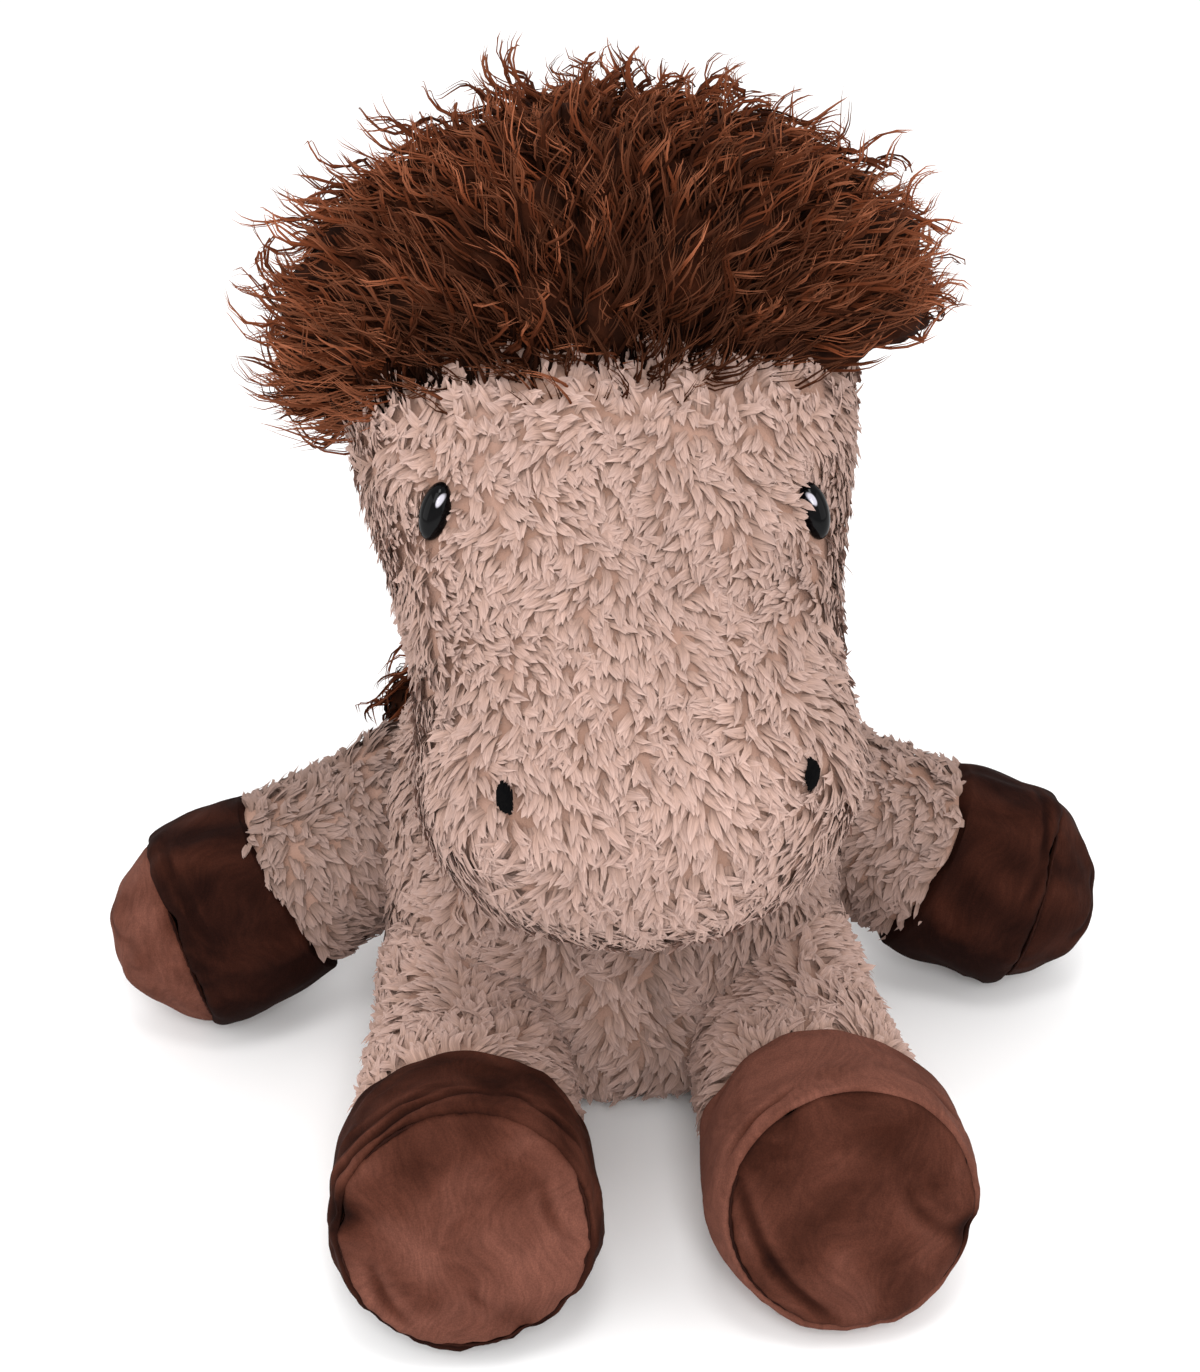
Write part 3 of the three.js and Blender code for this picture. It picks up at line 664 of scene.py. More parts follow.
def dress(piece, body=None, blend=None, replaces=()):
    """Says which body a piece moves with, or bakes its place into its points if it is given a blend, and
    hides the plain solids that it stands for.
    """
    if blend:
        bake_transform(piece)
    else:
        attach(piece, body)
    if replaces:
        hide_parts(*replaces)
    return piece


def bend_of(name):
    """The torso, the limb, and two points on the limb's axis, a little inside and a little outside its
    root.
    """
    limb, side = LIMBS[name]
    root, axes = limb_axes(limb, side)
    start = root - axes[:, 2] * limb["ball"] * 0.6
    end = root + axes[:, 2] * limb["ball"] * 0.9
    return ("torso", name, start.tolist(), end.tolist())


# %% Skins of the torso, neck, head and limbs
SKINS = {
    "torso": (torso_surface, (72, 96), 0.7),
    "neck": (neck_surface, (40, 64), 0.8),
    "head": (head_surface, (72, 96), 0.85),
}
for body, (surface, grid, fill) in SKINS.items():
    solids = (f"{body}_cover", f"{body}_filling")
    dress(skin(f"{body}_skin", surface, grid), body, replaces=solids)
for name, (limb, side) in LIMBS.items():
    sleeve = skin(f"{name}_skin", sleeve_surface(limb, side), (48, 64))
    solids = (f"{name}_sleeve", f"{name}_filling")
    dress(sleeve, blend=bend_of(name), replaces=solids)

# %% [markdown]
# ## The shaggy pile
#
# The pile isn't a texture: its locks break the toy's outline and shade each other, so they are
# geometry. A lock is a few flat strands, which start side by side and come together at one tip.
# First the locks' roots are spread evenly over a surface, then each is combed along a flow, which
# is downhill plus a swirl, and last the strands are swept along their curves.

# %% Spreading roots evenly


def normals_at(surface, share, angle, inset):
    """Unit normals: the cross product of the surface's two slopes."""
    step = 2e-3
    along = surface(share + step, angle, inset) - surface(share - step, angle, inset)
    round_ = surface(share, angle + step, inset) - surface(share, angle - step, inset)
    normal = np.cross(round_, along)
    return normal / np.maximum(np.linalg.norm(normal, axis=-1, keepdims=True), 1e-12)


def scatter(surface, spacing, rng, inset, shares=(0.01, 0.99)):
    """Shares and angles of points about one spacing apart: rows at even distances from pole to
    pole, each with as many points as fit its length, started anywhere and jogged a little."""
    share = np.linspace(*shares, 200)
    angle = np.linspace(0, 2 * np.pi, 241)
    grid = surface(share[:, None], angle[None, :], inset)
    down = np.linalg.norm(np.diff(grid, axis=0), axis=-1).mean(1)
    length = np.concatenate([[0], np.cumsum(down)])
    rows = np.arange(spacing / 2, length[-1], spacing)
    found = []
    for row_share in np.interp(rows, length, share):
        ring = surface(np.full_like(angle, row_share), angle, inset)
        round_ = np.concatenate([[0], np.cumsum(np.linalg.norm(np.diff(ring, axis=0), axis=-1))])
        count = max(int(round(round_[-1] / spacing)), 1)
        where = (np.arange(count) + rng.random() + rng.uniform(-0.35, 0.35, count)) / count
        found.append([np.full(count, row_share), np.interp(where % 1 * round_[-1], round_, angle)])
    share, angle = np.concatenate(found, 1)
    jog = rng.uniform(-0.4, 0.4, len(share)) * spacing / length[-1] * (shares[1] - shares[0])
    return np.clip(share + jog, *shares), angle


def swirl(points, wavelength, seed, waves=6):
    """Smooth noise about -1 to 1: a sum of sine waves that run in different directions."""
    rng = np.random.default_rng(seed)
    ways = rng.normal(size=(waves, 3))
    ways *= 2 * np.pi / wavelength / np.linalg.norm(ways, axis=1, keepdims=True)
    phases = rng.uniform(0, 2 * np.pi, waves)
    return np.sin(points @ ways.T * rng.uniform(0.7, 1.4, waves) + phases).sum(-1) / waves**0.5


def unit(vectors):
    """Vectors of length 1 along the last axis."""
    return vectors / np.maximum(np.linalg.norm(vectors, axis=-1, keepdims=True), 1e-12)


def combed(normals, way):
    """The part of a direction that lies in the surface, as a unit vector."""
    way = np.broadcast_to(way, normals.shape)
    return unit(way - (way * normals).sum(-1, keepdims=True) * normals)


# %% [markdown]
# A strand is a ribbon with a ridge: three points at each step along its path, and one at its tip.
# Three sides are the fewest that stay solid from every side, and they keep a coat of tens of
# thousands of strands light enough to render and to export.

# %% Sweeping strands
FIBRE = 0.0006  # width of the fine stripes on a strand


def sweep_strands(name, paths, half_width, across, thick, tone, rng, material, nap):
    """Carries a flat triangle along (n, k, 3) paths; half_width is (n, k), across is (n, 3).

    The wide side lies along the part of `across` that is square to the path, and the ridge stands
    thick times as far out as the ribbon is half wide. `nap` is the way the cloth under it faces.
    """
    count, steps, _ = paths.shape
    tangent = unit(np.gradient(paths, axis=1))
    wide = across[:, None, :] - (across[:, None, :] * tangent).sum(-1, keepdims=True) * tangent
    wide = unit(wide)
    ridge = np.cross(tangent, wide)
    turned = np.where((ridge * nap[:, None]).sum((1, 2), keepdims=True) < 0, -1.0, 1.0)
    wide, ridge = wide * turned, ridge * turned
    reach = half_width[..., None]
    body = np.stack([paths - wide * reach, paths + wide * reach, paths + ridge * reach * thick], 2)
    points = np.concatenate([body[:, :-1].reshape(count, -1, 3), paths[:, -1:]], 1)
    size = 3 * (steps - 1) + 1
    ring = 3 * np.arange(steps - 2)[:, None]
    side = np.arange(3)[None, :]
    after = (side + 1) % 3
    quads = np.stack([ring + side, ring + after, ring + 3 + after, ring + 3 + side], -1).reshape(-1, 4)
    last = size - 4
    tip = np.stack([last + side[0], last + after[0], np.full(3, size - 1)], -1)
    triangles = np.vstack([tip, [[0, 2, 1]]])
    shift = (np.arange(count) * size)[:, None, None]
    faces = [(quads + shift).reshape(-1, 4), (triangles + shift).reshape(-1, 3)]
    step = np.append(np.repeat(np.arange(steps - 1), 3), steps - 1)
    along = np.broadcast_to(step / (steps - 1), (count, size))
    offset = np.append(np.tile([-1.0, 1.0, 0.0], steps - 1), 0.0)
    seed = rng.uniform(0, 1000, (count, 1))
    fibres = half_width.max(1, keepdims=True) / FIBRE
    grain = np.stack(np.broadcast_arrays(offset * fibres + seed, along * 1.6, seed * 0.37), -1)
    columns = int(np.ceil(count**0.5))
    cell = np.arange(count)[:, None]
    flat_x = (cell % columns + 0.5 + 0.4 * offset) / columns
    flat_y = (cell // columns + 0.1 + 0.8 * along) / columns
    attributes = {
        "along": along.ravel(),
        "tone": np.repeat(tone, size),
        "nap": np.repeat(nap, size, 0),
        "grain": grain.reshape(-1, 3),
    }
    corners = np.stack(np.broadcast_arrays(flat_x, flat_y), -1).reshape(-1, 2)
    piece = add_mesh(name, points.reshape(-1, 3), faces, attributes, smooth=False, corners=corners)
    return finished(piece, material)


# %% Locks of pile
PILE = {
    "spacing": 0.0040,  # from lock to lock on the face
    "length": 0.0130,
    "stand": 0.0038,  # how far a strand rises before it falls over
    "rest": 0.0026,  # how far its tip lies above its root
    "spread": 0.0023,  # of one lock's strands at their feet
    "half_widths": np.array([0.0018, 0.0010, 0.0008]),  # of one lock's strands
    "turns": [(0.8, 0.05, 11), (0.45, 0.018, 12)],  # radians, wavelength and seed of each swirl
    "overlap": 0.0006,  # of the narrow strands over the wide one
    "sunk": 0.001,  # of the roots, so that none hangs over the skin
}


def pile_locks(roots, normals, flow, rng, length, coarse, steps=4):
    """Paths of pile strands. Each is a parabola that leaves its root along the normal and falls
    over along the flow, to a tip that its lock shares, with a sideways curl that grows to the tip.
    """
    count, strands = len(roots), len(PILE["half_widths"])
    side = np.cross(normals, flow)
    turn = sum(size * swirl(roots, wave, seed) for size, wave, seed in PILE["turns"])
    turn = turn + rng.normal(0, 0.22, count)
    way = flow * np.cos(turn)[:, None] + side * np.sin(turn)[:, None]
    side = np.cross(normals, way)
    long = (length * rng.uniform(0.75, 1.25, count))[:, None]
    tall = rng.uniform(0.75, 1.2, count)[:, None]
    tip = roots + way * long * 0.8 + normals * PILE["rest"] * tall
    offset = rng.uniform(-1, 1, (count, strands, 2)) * PILE["spread"]
    offset[:, 0] *= 0.2
    lift = np.where(np.arange(strands) > 0, PILE["overlap"], 0)[None, :, None] * normals[:, None]
    foot = side[:, None] * offset[..., :1] + way[:, None] * offset[..., 1:]
    start = roots[:, None] + foot - normals[:, None] * PILE["sunk"]
    knee = start + (normals * PILE["stand"] * tall + way * long * 0.25)[:, None] + lift
    end = tip[:, None] + foot * 0.6 + rng.normal(0, 0.0010, (count, strands, 3)) + lift
    t = np.linspace(0, 1, steps)[:, None] ** 0.6
    curve = (1 - t) ** 2 * start[:, :, None] + 2 * t * (1 - t) * knee[:, :, None] + t**2 * end[:, :, None]
    curl = rng.normal(0, 0.0013, (count, 1, 1, 1)) * np.sin(3.6 * t) * t
    curve = curve + curl * side[:, None, None]
    taper = np.interp(t[:, 0], [0, 0.5, 0.85, 1], [0.8, 1, 0.8, 0.1])
    width = rng.uniform(0.75, 1.25, (count, strands, 1)) * PILE["half_widths"][:, None] * taper * coarse
    lock_tone = 0.7 + 0.05 * swirl(roots, 0.09, 13) + rng.normal(0, 0.045, count)
    tone = lock_tone[:, None] + rng.normal(0, 0.03, (count, strands))
    across = np.repeat(side, strands, 0) + rng.normal(0, 0.15, (count * strands, 3))
    nap = np.repeat(normals, strands, 0)
    flat = count * strands
    return curve.reshape(flat, steps, 3), width.reshape(flat, steps), across, tone.ravel(), nap


# %% Growing pile over a surface


def grow_pile(
    names, surface, way, rng, coarse=1.15, shares=(0.01, 0.99), keep=None, length=None, shade=0
):
    """Pile over a surface, cut into pieces of even size from its first pole to its last; its locks are
    `coarse` times as wide and as far apart as the face's, and paler by `shade`, which paints light and
    shade onto them."""
    share, angle = scatter(surface, PILE["spacing"] * coarse, rng, SKIN_DEPTH, shares)
    order = np.argsort(share)
    share, angle = share[order], angle[order]
    roots = surface(share, angle, SKIN_DEPTH)
    normals = normals_at(surface, share, angle, SKIN_DEPTH)
    heading = way(roots) if callable(way) else np.broadcast_to(way, roots.shape)
    flow = combed(normals, unit(heading) + 0.25 * rng.normal(size=roots.shape))
    long = np.full(len(roots), PILE["length"]) if length is None else length(roots)
    shown = np.ones(len(roots), bool) if keep is None else keep(roots)
    parts = np.array_split(np.flatnonzero(shown), len(names))
    made = []
    for name, part in zip(names, parts):
        locks = pile_locks(roots[part], normals[part], flow[part], rng, long[part], coarse)
        paths, width, across, tone, nap = locks
        paler = shade(roots[part]) if callable(shade) else np.full(len(part), shade)
        tone = np.clip(tone + np.repeat(paler, len(PILE["half_widths"])), 0, 1)
        paths[..., 2] = np.maximum(paths[..., 2], SEAT_HEIGHT)
        made.append(sweep_strands(name, paths, width, across, 0.28, tone, rng, plush_pile, nap))
    return made


# %% [markdown]
# The face has to stay clear: locks aren't rooted where an eye or a nostril sits, and those just
# round them are cut short, as a maker trims them. The places of eyes and nostrils are a height and
# an angle on the head's form, so they keep their place on the cheek whatever the camera does.

# %% Places on the face
EYE = {
    "height0": 0.0045,
    "slant": 0.0045,
    "angle": 50,
    "sunk": 0.003,
    "lean": (31.0, 38.0),
    "width": 0.0116,
    "height": 0.0226,
    "dome": 0.006,
}
NOSTRIL = {
    "height0": -0.100,
    "slant": 0.0,
    "angle": 38,
    "sunk": 0.0,
    "lean": (14.0, -4.0),
    "width": 0.0066,
    "height": 0.0120,
}


def face_frame(place, side):
    """A point on the head, and axes there: sideways, up along the face, and out of it. The place
    gives one lean for each side, the horse's left first, by which the top leans inwards."""
    turn = np.radians(side * place["angle"]) - np.pi / 2
    height = place["height0"] - side * place["slant"]
    lean = np.radians(place["lean"][0 if side > 0 else 1]) * side
    step = 1e-5

    def at(z, angle):
        return to_head(at_height(HEAD, np.array(z), np.array(angle)))

    round_ = at(height, turn + step) - at(height, turn - step)
    along = at(height + step, turn) - at(height - step, turn)
    out = unit(np.cross(round_, along))
    up = unit(along)
    middle = at(height, turn) - out * place["sunk"]
    up = up * np.cos(lean) - np.cross(up, out) * np.sin(lean)
    return middle, np.stack([np.cross(up, out), up, out], -1)


FACE_PLACES = [(place, side) for place in (EYE, NOSTRIL) for side in SIDES.values()]


# %% Distances on the face


def face_distance(points):
    """How far points are from the nearest eye or nostril, in times its half size."""
    nearest = np.full(len(points), np.inf)
    for place, side in FACE_PLACES:
        middle, axes = face_frame(place, side)
        local = (points - middle) @ axes
        away = np.hypot(local[:, 0] / (place["width"] / 2), local[:, 1] / (place["height"] / 2))
        away = np.where(local[:, 2] > -0.02, away, np.inf)
        nearest = np.minimum(nearest, away)
    return nearest


def in_head(points):
    """From the row frame to the head's own frame."""
    return (points - HEAD_MIDDLE) @ HEAD_AXES


def hairline(local):
    """Height of the mane's edge over points in the head's frame: it rises from the brow to the
    back, hangs lower on the horse's right and is swept up on its left."""
    rise = (local[..., 1] + HEAD["depth"] / 2) * np.tan(np.radians(HAIRLINE_RISE))
    sweep = np.interp(local[..., 0], [-0.13, -0.065, 0.085, 0.14], [-0.020, 0, 0.002, 0.024])
    return HAIRLINE + rise + sweep


def above_hairline(points):
    """How far points are above the mane's edge, along the head's own axis."""
    local = in_head(points)
    return local[..., 2] - hairline(local)


# %% Pile on the head
rng = np.random.default_rng(1)
FACE_CLEAR = 1.25  # in half sizes of an eye or a nostril
HEAD_PILE = ["head_pile_muzzle", "head_pile_jaw", "head_pile_cheeks", "head_pile_brow"]


def face_flow(roots):
    """Down the face, but up for more and more locks towards the hairline, where they were brushed
    out of the mane's way."""
    share_up = np.interp(above_hairline(roots), [-0.030, 0.0], [0, 1])
    up = np.where(rng.random(len(roots)) < share_up, 1.0, -1.0)[:, None]
    return up * HEAD_AXES[:, 2] + 0.5 * rng.normal(size=roots.shape) * (up > 0)


def face_length(roots):
    """Longer on the muzzle, shorter on the brow, and cut short round eyes and nostrils."""
    height = in_head(roots)[:, 2]
    length = np.interp(height, [-0.12, 0.0, 0.05], [0.0145, 0.0120, 0.0115])
    return length * np.interp(face_distance(roots), [FACE_CLEAR, 2.4], [0.35, 1])


def face_keep(roots):
    """Clear of eyes and nostrils, and no further up than just under the mane's edge."""
    return (face_distance(roots) > FACE_CLEAR) & (above_hairline(roots) < 0.008)


options = {"coarse": 1.0, "keep": face_keep, "length": face_length}
for piece in grow_pile(HEAD_PILE, head_surface, face_flow, rng, **options):
    dress(piece, "head")

# %% Pile on the torso
BELLY_SEAM = 0.007


def torso_keep(roots):
    """No pile where the torso sits or where a limb is sewn on."""
    shown = roots[:, 2] > 0.004
    for limb, side in LIMBS.values():
        root, _ = limb_axes(limb, side)
        shown &= np.linalg.norm(roots - root, axis=1) > limb["ball"] - 0.004
    return shown & (np.linalg.norm(roots - NECK_LOW, axis=1) > NECK_RADIUS - 0.004)


def belly_painted_shade(roots):
    """The two halves of the belly meet in a seam. Painted shade darkens the pile of the horse's left, and a
    line along the seam.
    """
    across = roots[:, 0] - BELLY_SEAM
    return np.where(across > 0, -0.22, 0.02) - 0.3 * np.exp(-((across / 0.003) ** 2))


rng = np.random.default_rng(2)
TORSO_PILE = ["torso_pile_low", "torso_pile_middle", "torso_pile_high"]
options = {"coarse": 1.2, "keep": torso_keep, "shade": belly_painted_shade}
for piece in grow_pile(TORSO_PILE, torso_surface, (0, 0, -1), rng, **options):
    dress(piece, "torso")


# %% Pile on the neck


def neck_keep(roots):
    """Only where the neck shows, which is between the head's form and the torso's top."""
    local = in_head(roots)
    a, b = half_sizes(HEAD, np.clip(local[:, 2], HEAD["bottom"] + 0.01, HEAD["top"] - 0.01), 0.010)
    inside = (local[:, 0] / a) ** 2 + (local[:, 1] / b) ** 2 < 1
    return (roots[:, 2] > 0.17) & ~inside


rng = np.random.default_rng(3)
for piece in grow_pile(["neck_pile"], neck_surface, (0, 0, -1), rng, 1.5, keep=neck_keep):
    dress(piece, "neck")

# %% Pile on the sleeves


def sleeve_keep(roots):
    """No pile inside the torso, and none under the sleeve where it lies on the floor."""
    a, b = half_sizes(TORSO, np.clip(roots[:, 2], 0.001, 0.2), 0.012)
    inside = (roots[:, 0] / a) ** 2 + (roots[:, 1] / b) ** 2 < 1
    return ~inside & (roots[:, 2] > 0.003)


# Painted light and shade: the legs' pile paler and the arms' darker, as the light falls on them.
SLEEVE_PAINTED_LIGHT = {"leg_left": 0.08, "leg_right": 0.22, "arm_left": -0.35, "arm_right": -0.45}
for seed, (name, (limb, side)) in enumerate(LIMBS.items()):
    rng = np.random.default_rng(10 + seed)
    _, axes = limb_axes(limb, side)
    way = np.array([0, 0, -1]) - 0.6 * axes[:, 2]
    options = {"shares": (0.02, 0.975), "keep": sleeve_keep, "shade": SLEEVE_PAINTED_LIGHT[name]}
    (pile,) = grow_pile([f"{name}_pile"], sleeve_surface(limb, side), way, rng, **options)
    dress(pile, blend=bend_of(name))

# %% [markdown]
# ## Curly hair
#
# The mane is a cloth with very long pile: curly strands that cling together in wavy locks. Each lock is a
# smooth curve out of the crown with a helix added to it, which opens towards the tip. Its strands share the
# curve and the helix, and differ a little in each. A dark core under the locks stands for the tangle
# inside, so that no light comes through, and its near-black colour is painted shade.

# %% Growing curly locks
CURLS = {
    "strands": 3,  # to a lock
    "steps": 14,  # points along a strand
    "spread": 0.0011,  # between a lock's strands
    "half_width": 0.00062,  # of a strand
    "curl": 0.0032,  # radius of the helix
}


def curly_locks(name, start, end, leave, arrive, normals, rng, shade=0.0, wisp=0.18, waves=1.9):
    """Strands along cubic curves from start to end, which set out along `leave` and come in along
    `arrive`, plus a helix whose radius grows on the way; wisps run on past the others."""
    count, strands, steps = len(start), CURLS["strands"], CURLS["steps"]
    gap = end - start
    far = np.linalg.norm(gap, axis=1, keepdims=True)
    stray = rng.random((count, 1)) < wisp
    end = end + arrive * np.where(stray, rng.uniform(0.006, 0.022, (count, 1)), 0)
    loose = np.where(stray, 1.4, 1.0)[:, None]
    first = start + leave * far * 0.4
    second = end - unit(arrive + rng.normal(0, 0.25, (count, 3))) * far * 0.4
    t = np.linspace(0, 1, steps)[None, :, None]
    curve = (
        (1 - t) ** 3 * start[:, None]
        + 3 * t * (1 - t) ** 2 * first[:, None]
        + 3 * t**2 * (1 - t) * second[:, None]
        + t**3 * end[:, None]
    )
    one = unit(np.cross(gap, rng.normal(size=(count, 3))))
    two = unit(np.cross(gap, one))
    phase = rng.uniform(0, 2 * np.pi, (count, 1, 1)) + rng.normal(0, 0.3, (count, strands, 1))
    turns = waves * rng.uniform(0.7, 1.3, (count, 1, 1))
    swing = 2 * np.pi * turns * t[0, :, 0] + phase
    radius = CURLS["curl"] * loose * rng.uniform(0.4, 1.5, (count, 1, 1)) * t[0, :, 0] ** 0.6
    helix = (radius * np.cos(swing))[..., None] * one[:, None, None]
    helix = helix + (radius * np.sin(swing))[..., None] * two[:, None, None]
    offset = rng.normal(0, CURLS["spread"], (count, strands, 1, 3)) * (1.2 - t[None])
    offset = offset + rng.normal(0, 0.0012, (count, strands, 1, 3)) * np.maximum(t[None] - 0.6, 0) * 2
    paths = (curve[:, None] + helix + offset).reshape(count * strands, steps, 3)
    taper = np.interp(t[0, :, 0], [0, 0.5, 0.85, 1], [0.9, 1, 0.6, 0.12])
    width = (rng.uniform(0.6, 1.4, (count * strands, 1)) * CURLS["half_width"]) * taper
    across = rng.normal(size=(count * strands, 3))
    # `shade` darkens or pales each lock: painted shade over the mane's middle.
    lock = 0.2 + shade + 0.12 * swirl(end, 0.05, 21) + rng.exponential(0.22, count)
    tone = np.clip(lock[:, None] + rng.normal(0, 0.1, (count, strands)), 0, 1).ravel()
    paths[..., 2] = np.maximum(paths[..., 2], SEAT_HEIGHT)
    nap = np.repeat(normals, strands, 0)
    return sweep_strands(name, paths, width, across, 0.8, tone, rng, curly_hair, nap)


# %% The core under the locks


def core_piece(name, surface, relief=0.004, rows=60, columns=90):
    """The tangle under the locks: the hair's form drawn in, with lumps and ropes of smooth noise."""
    points = surface(*bag_grid(rows, columns))
    flat = points.reshape(-1, 3)
    ropes = 1 - 2 * np.abs(swirl(flat, 0.016, 32))
    lumps = (swirl(flat, 0.03, 31) + 0.5 * ropes).reshape(rows, columns, 1)
    points = points + unit(points - flat.mean(0)) * lumps * relief
    piece = add_mesh(name, *closed_grid(points))
    return finished(piece, tangle_painted_shade)


# %% The mane's form
MANE_CORE_DEPTH = 0.014
MANE_SPACING = 0.0066  # from lock to lock
MANE_FAN = np.array([0.006, -0.058, 0.030])  # where the locks fan out from, in the head's frame
MANE_LENGTHS = (0.038, 0.066)  # shortest and longest lock


def mane_form(share, angle, inset=0.0):
    """The mane's form in the head's frame."""
    return on_form(MANE, share, angle, inset) + MANE_SHIFT


def mane_surface(share, angle, inset=0.0):
    """The mane's outer form on the head."""
    return to_head(mane_form(share, angle, inset))


def raised_to_hairline(local, spare=0.0):
    """Points in the head's frame, with those below the hairline lifted to it."""
    local = local.copy()
    local[..., 2] = np.maximum(local[..., 2], hairline(local) - spare)
    return local


def mane_core(share, angle):
    """The mane's form drawn in all round, its lower edge at the hairline."""
    return to_head(raised_to_hairline(mane_form(share, angle, MANE_CORE_DEPTH), 0.002))


def onto_mane(local, inset):
    """The place on the drawn-in form at a point's height, in its direction from the middle."""
    low, high = MANE["bottom"] + inset + 1e-4, MANE["top"] - inset - 1e-4
    z = np.clip(local[:, 2], low, high)
    a, b = half_sizes(MANE, z, inset)
    angle = np.arctan2((local[:, 1] - MANE_SHIFT[1]) / b, (local[:, 0] - MANE_SHIFT[0]) / a)
    return raised_to_hairline(at_height(MANE, z, angle, inset) + MANE_SHIFT)


# %% Layers of the mane


def mane_layer(spacing, fall, reach, rng):
    """Locks that fan out from the middle of the brow and lie over the mane: a tip at each point
    spread over the form, and its root a lock's length back along the fan, on the core."""
    share, angle = scatter(mane_form, spacing, rng, 0.0, (0.08, 0.985))
    tips = mane_form(share, angle)
    out = normals_at(mane_form, share, angle, 0.0)
    shown = tips[:, 2] > hairline(tips) - 0.002
    tips, out = tips[shown], out[shown]
    count = len(tips)
    away = tips - MANE_FAN
    far = np.linalg.norm(away, axis=1, keepdims=True)
    away = away / far
    flow = combed(out, away)
    long = np.minimum(rng.uniform(*MANE_LENGTHS, (count, 1)), 0.85 * far)
    roots = onto_mane(tips - flow * long, MANE_CORE_DEPTH + 0.002)
    side = np.cross(out, flow) * rng.normal(0, 0.006, (count, 1))
    tips = tips + side - out * fall + away * rng.normal(reach, 0.005, (count, 1))
    leave = unit(flow + 0.7 * out + rng.normal(0, 0.3, out.shape))
    # Painted shade: locks darker near the fan's middle over the brow, paler far out.
    shade = np.interp(far[:, 0], [0.05, 0.15], [-0.65, 0.28])
    return roots, tips, leave, away, out, shade


def fringe_layer(count, rng):
    """Short locks of the hairline, which fan out over the mane's lower rim."""
    angle = rng.uniform(0, 2 * np.pi, count)
    low = np.full(count, HAIRLINE)
    root = raised_to_hairline(at_height(HEAD, low, angle, 0.003))
    rim = raised_to_hairline(at_height(MANE, low + 0.02, angle) + MANE_SHIFT)
    way = unit(rim - root)
    reach = rng.uniform(0.3, 1.0, (count, 1))
    tip = root + (rim - root) * reach + np.array([0, 0, 0.014]) * rng.uniform(0, 1, (count, 1))
    tip = tip + way * rng.uniform(0.0, 0.006, (count, 1))
    leave = unit(way + np.array([0, 0, 0.6]) + rng.normal(0, 0.25, (count, 3)))
    return root, tip, leave, way, way, np.full(count, -0.15)


# %% The mane
rng = np.random.default_rng(4)
layers = [
    fringe_layer(260, rng),
    mane_layer(MANE_SPACING, 0.001, -0.002, rng),
    mane_layer(MANE_SPACING * 1.7, 0.008, 0.0, rng),
]
locks = [np.concatenate(part) for part in zip(*layers)]
order = np.argsort(locks[1][:, 2])
MANE_PIECES = ["mane_locks_fringe", "mane_locks_sides", "mane_locks_crown", "mane_locks_top"]
mane_pieces = [core_piece("mane_core", mane_core)]
for name, part in zip(MANE_PIECES, np.array_split(order, len(MANE_PIECES))):
    start, end, leave, arrive, out, shade = (values[part] for values in locks)
    ways = [way @ HEAD_AXES.T for way in (leave, arrive, out)]
    mane_pieces.append(curly_locks(name, to_head(start), to_head(end), *ways, rng, shade))
for piece in mane_pieces:
    dress(piece, "head")
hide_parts("mane")

# %% [markdown]
# The mane runs on down the back of the neck and ends on the shoulders, and the tail is a plume of
# the same hair. There the locks hang, so each starts above its end and lies along the surface.

# %% Forms of the neck mane, the back mane and the tail
NECK_MANE = {"width": 0.128, "depth": 0.084, "height": 0.092, "cap": 0.036, "middle": (0, 0.046, 0.194)}
BACK_MANE = {"width": 0.208, "depth": 0.076, "height": 0.064, "cap": 0.028, "middle": (0, 0.078, 0.112)}
PAD_SHARES = [0.9, 1, 1, 1, 0.9]
TAIL = {"root": (0, 0.090, 0.058), "length": 0.104, "drop": 0.024, "thickness": 0.058}
TAIL_DROP_SHARES = [0, -0.08, 0.58, 1]
HANGING_SPACING = 0.0094


def pad_surface(pad):
    """A pad of hair round its own middle, rounded at its top and bottom."""
    half = pad["height"] / 2
    form = {**pad, "bottom": -half, "top": half, "bottom_cap": pad["cap"], "top_cap": pad["cap"]}
    form |= {"squareness": 2, "width_shares": PAD_SHARES, "depth_shares": PAD_SHARES}

    def surface(share, angle, inset=0.0):
        return on_form(form, share, angle, inset) + np.array(pad["middle"])

    return surface


def tail_line(t):
    """The tail's middle line: straight back, and down by its shares of the drop."""
    back = TAIL["length"] * t
    down = -TAIL["drop"] * read_shares(TAIL_DROP_SHARES, t)
    return np.stack([np.zeros_like(t), back, down], -1) + np.array(TAIL["root"])


def tail_surface(share, angle, inset=0.0):
    """A round plume along its middle line: its radius follows sin(pi t) to the power 0.6."""
    share, angle = np.broadcast_arrays(np.asarray(share, float), np.asarray(angle, float))
    middle = tail_line(share)
    along = unit(tail_line(np.minimum(share + 0.01, 1)) - tail_line(np.maximum(share - 0.01, 0)))
    side = np.broadcast_to([1.0, 0, 0], along.shape)
    up = np.cross(along, side)
    radius = TAIL["thickness"] / 2 * np.sin(np.pi * np.clip(share, 0.001, 0.999)) ** 0.6
    radius = np.maximum(radius - inset, 0.002)[..., None]
    return middle + radius * (np.cos(angle)[..., None] * side + np.sin(angle)[..., None] * up)


# %% Growing hair that hangs


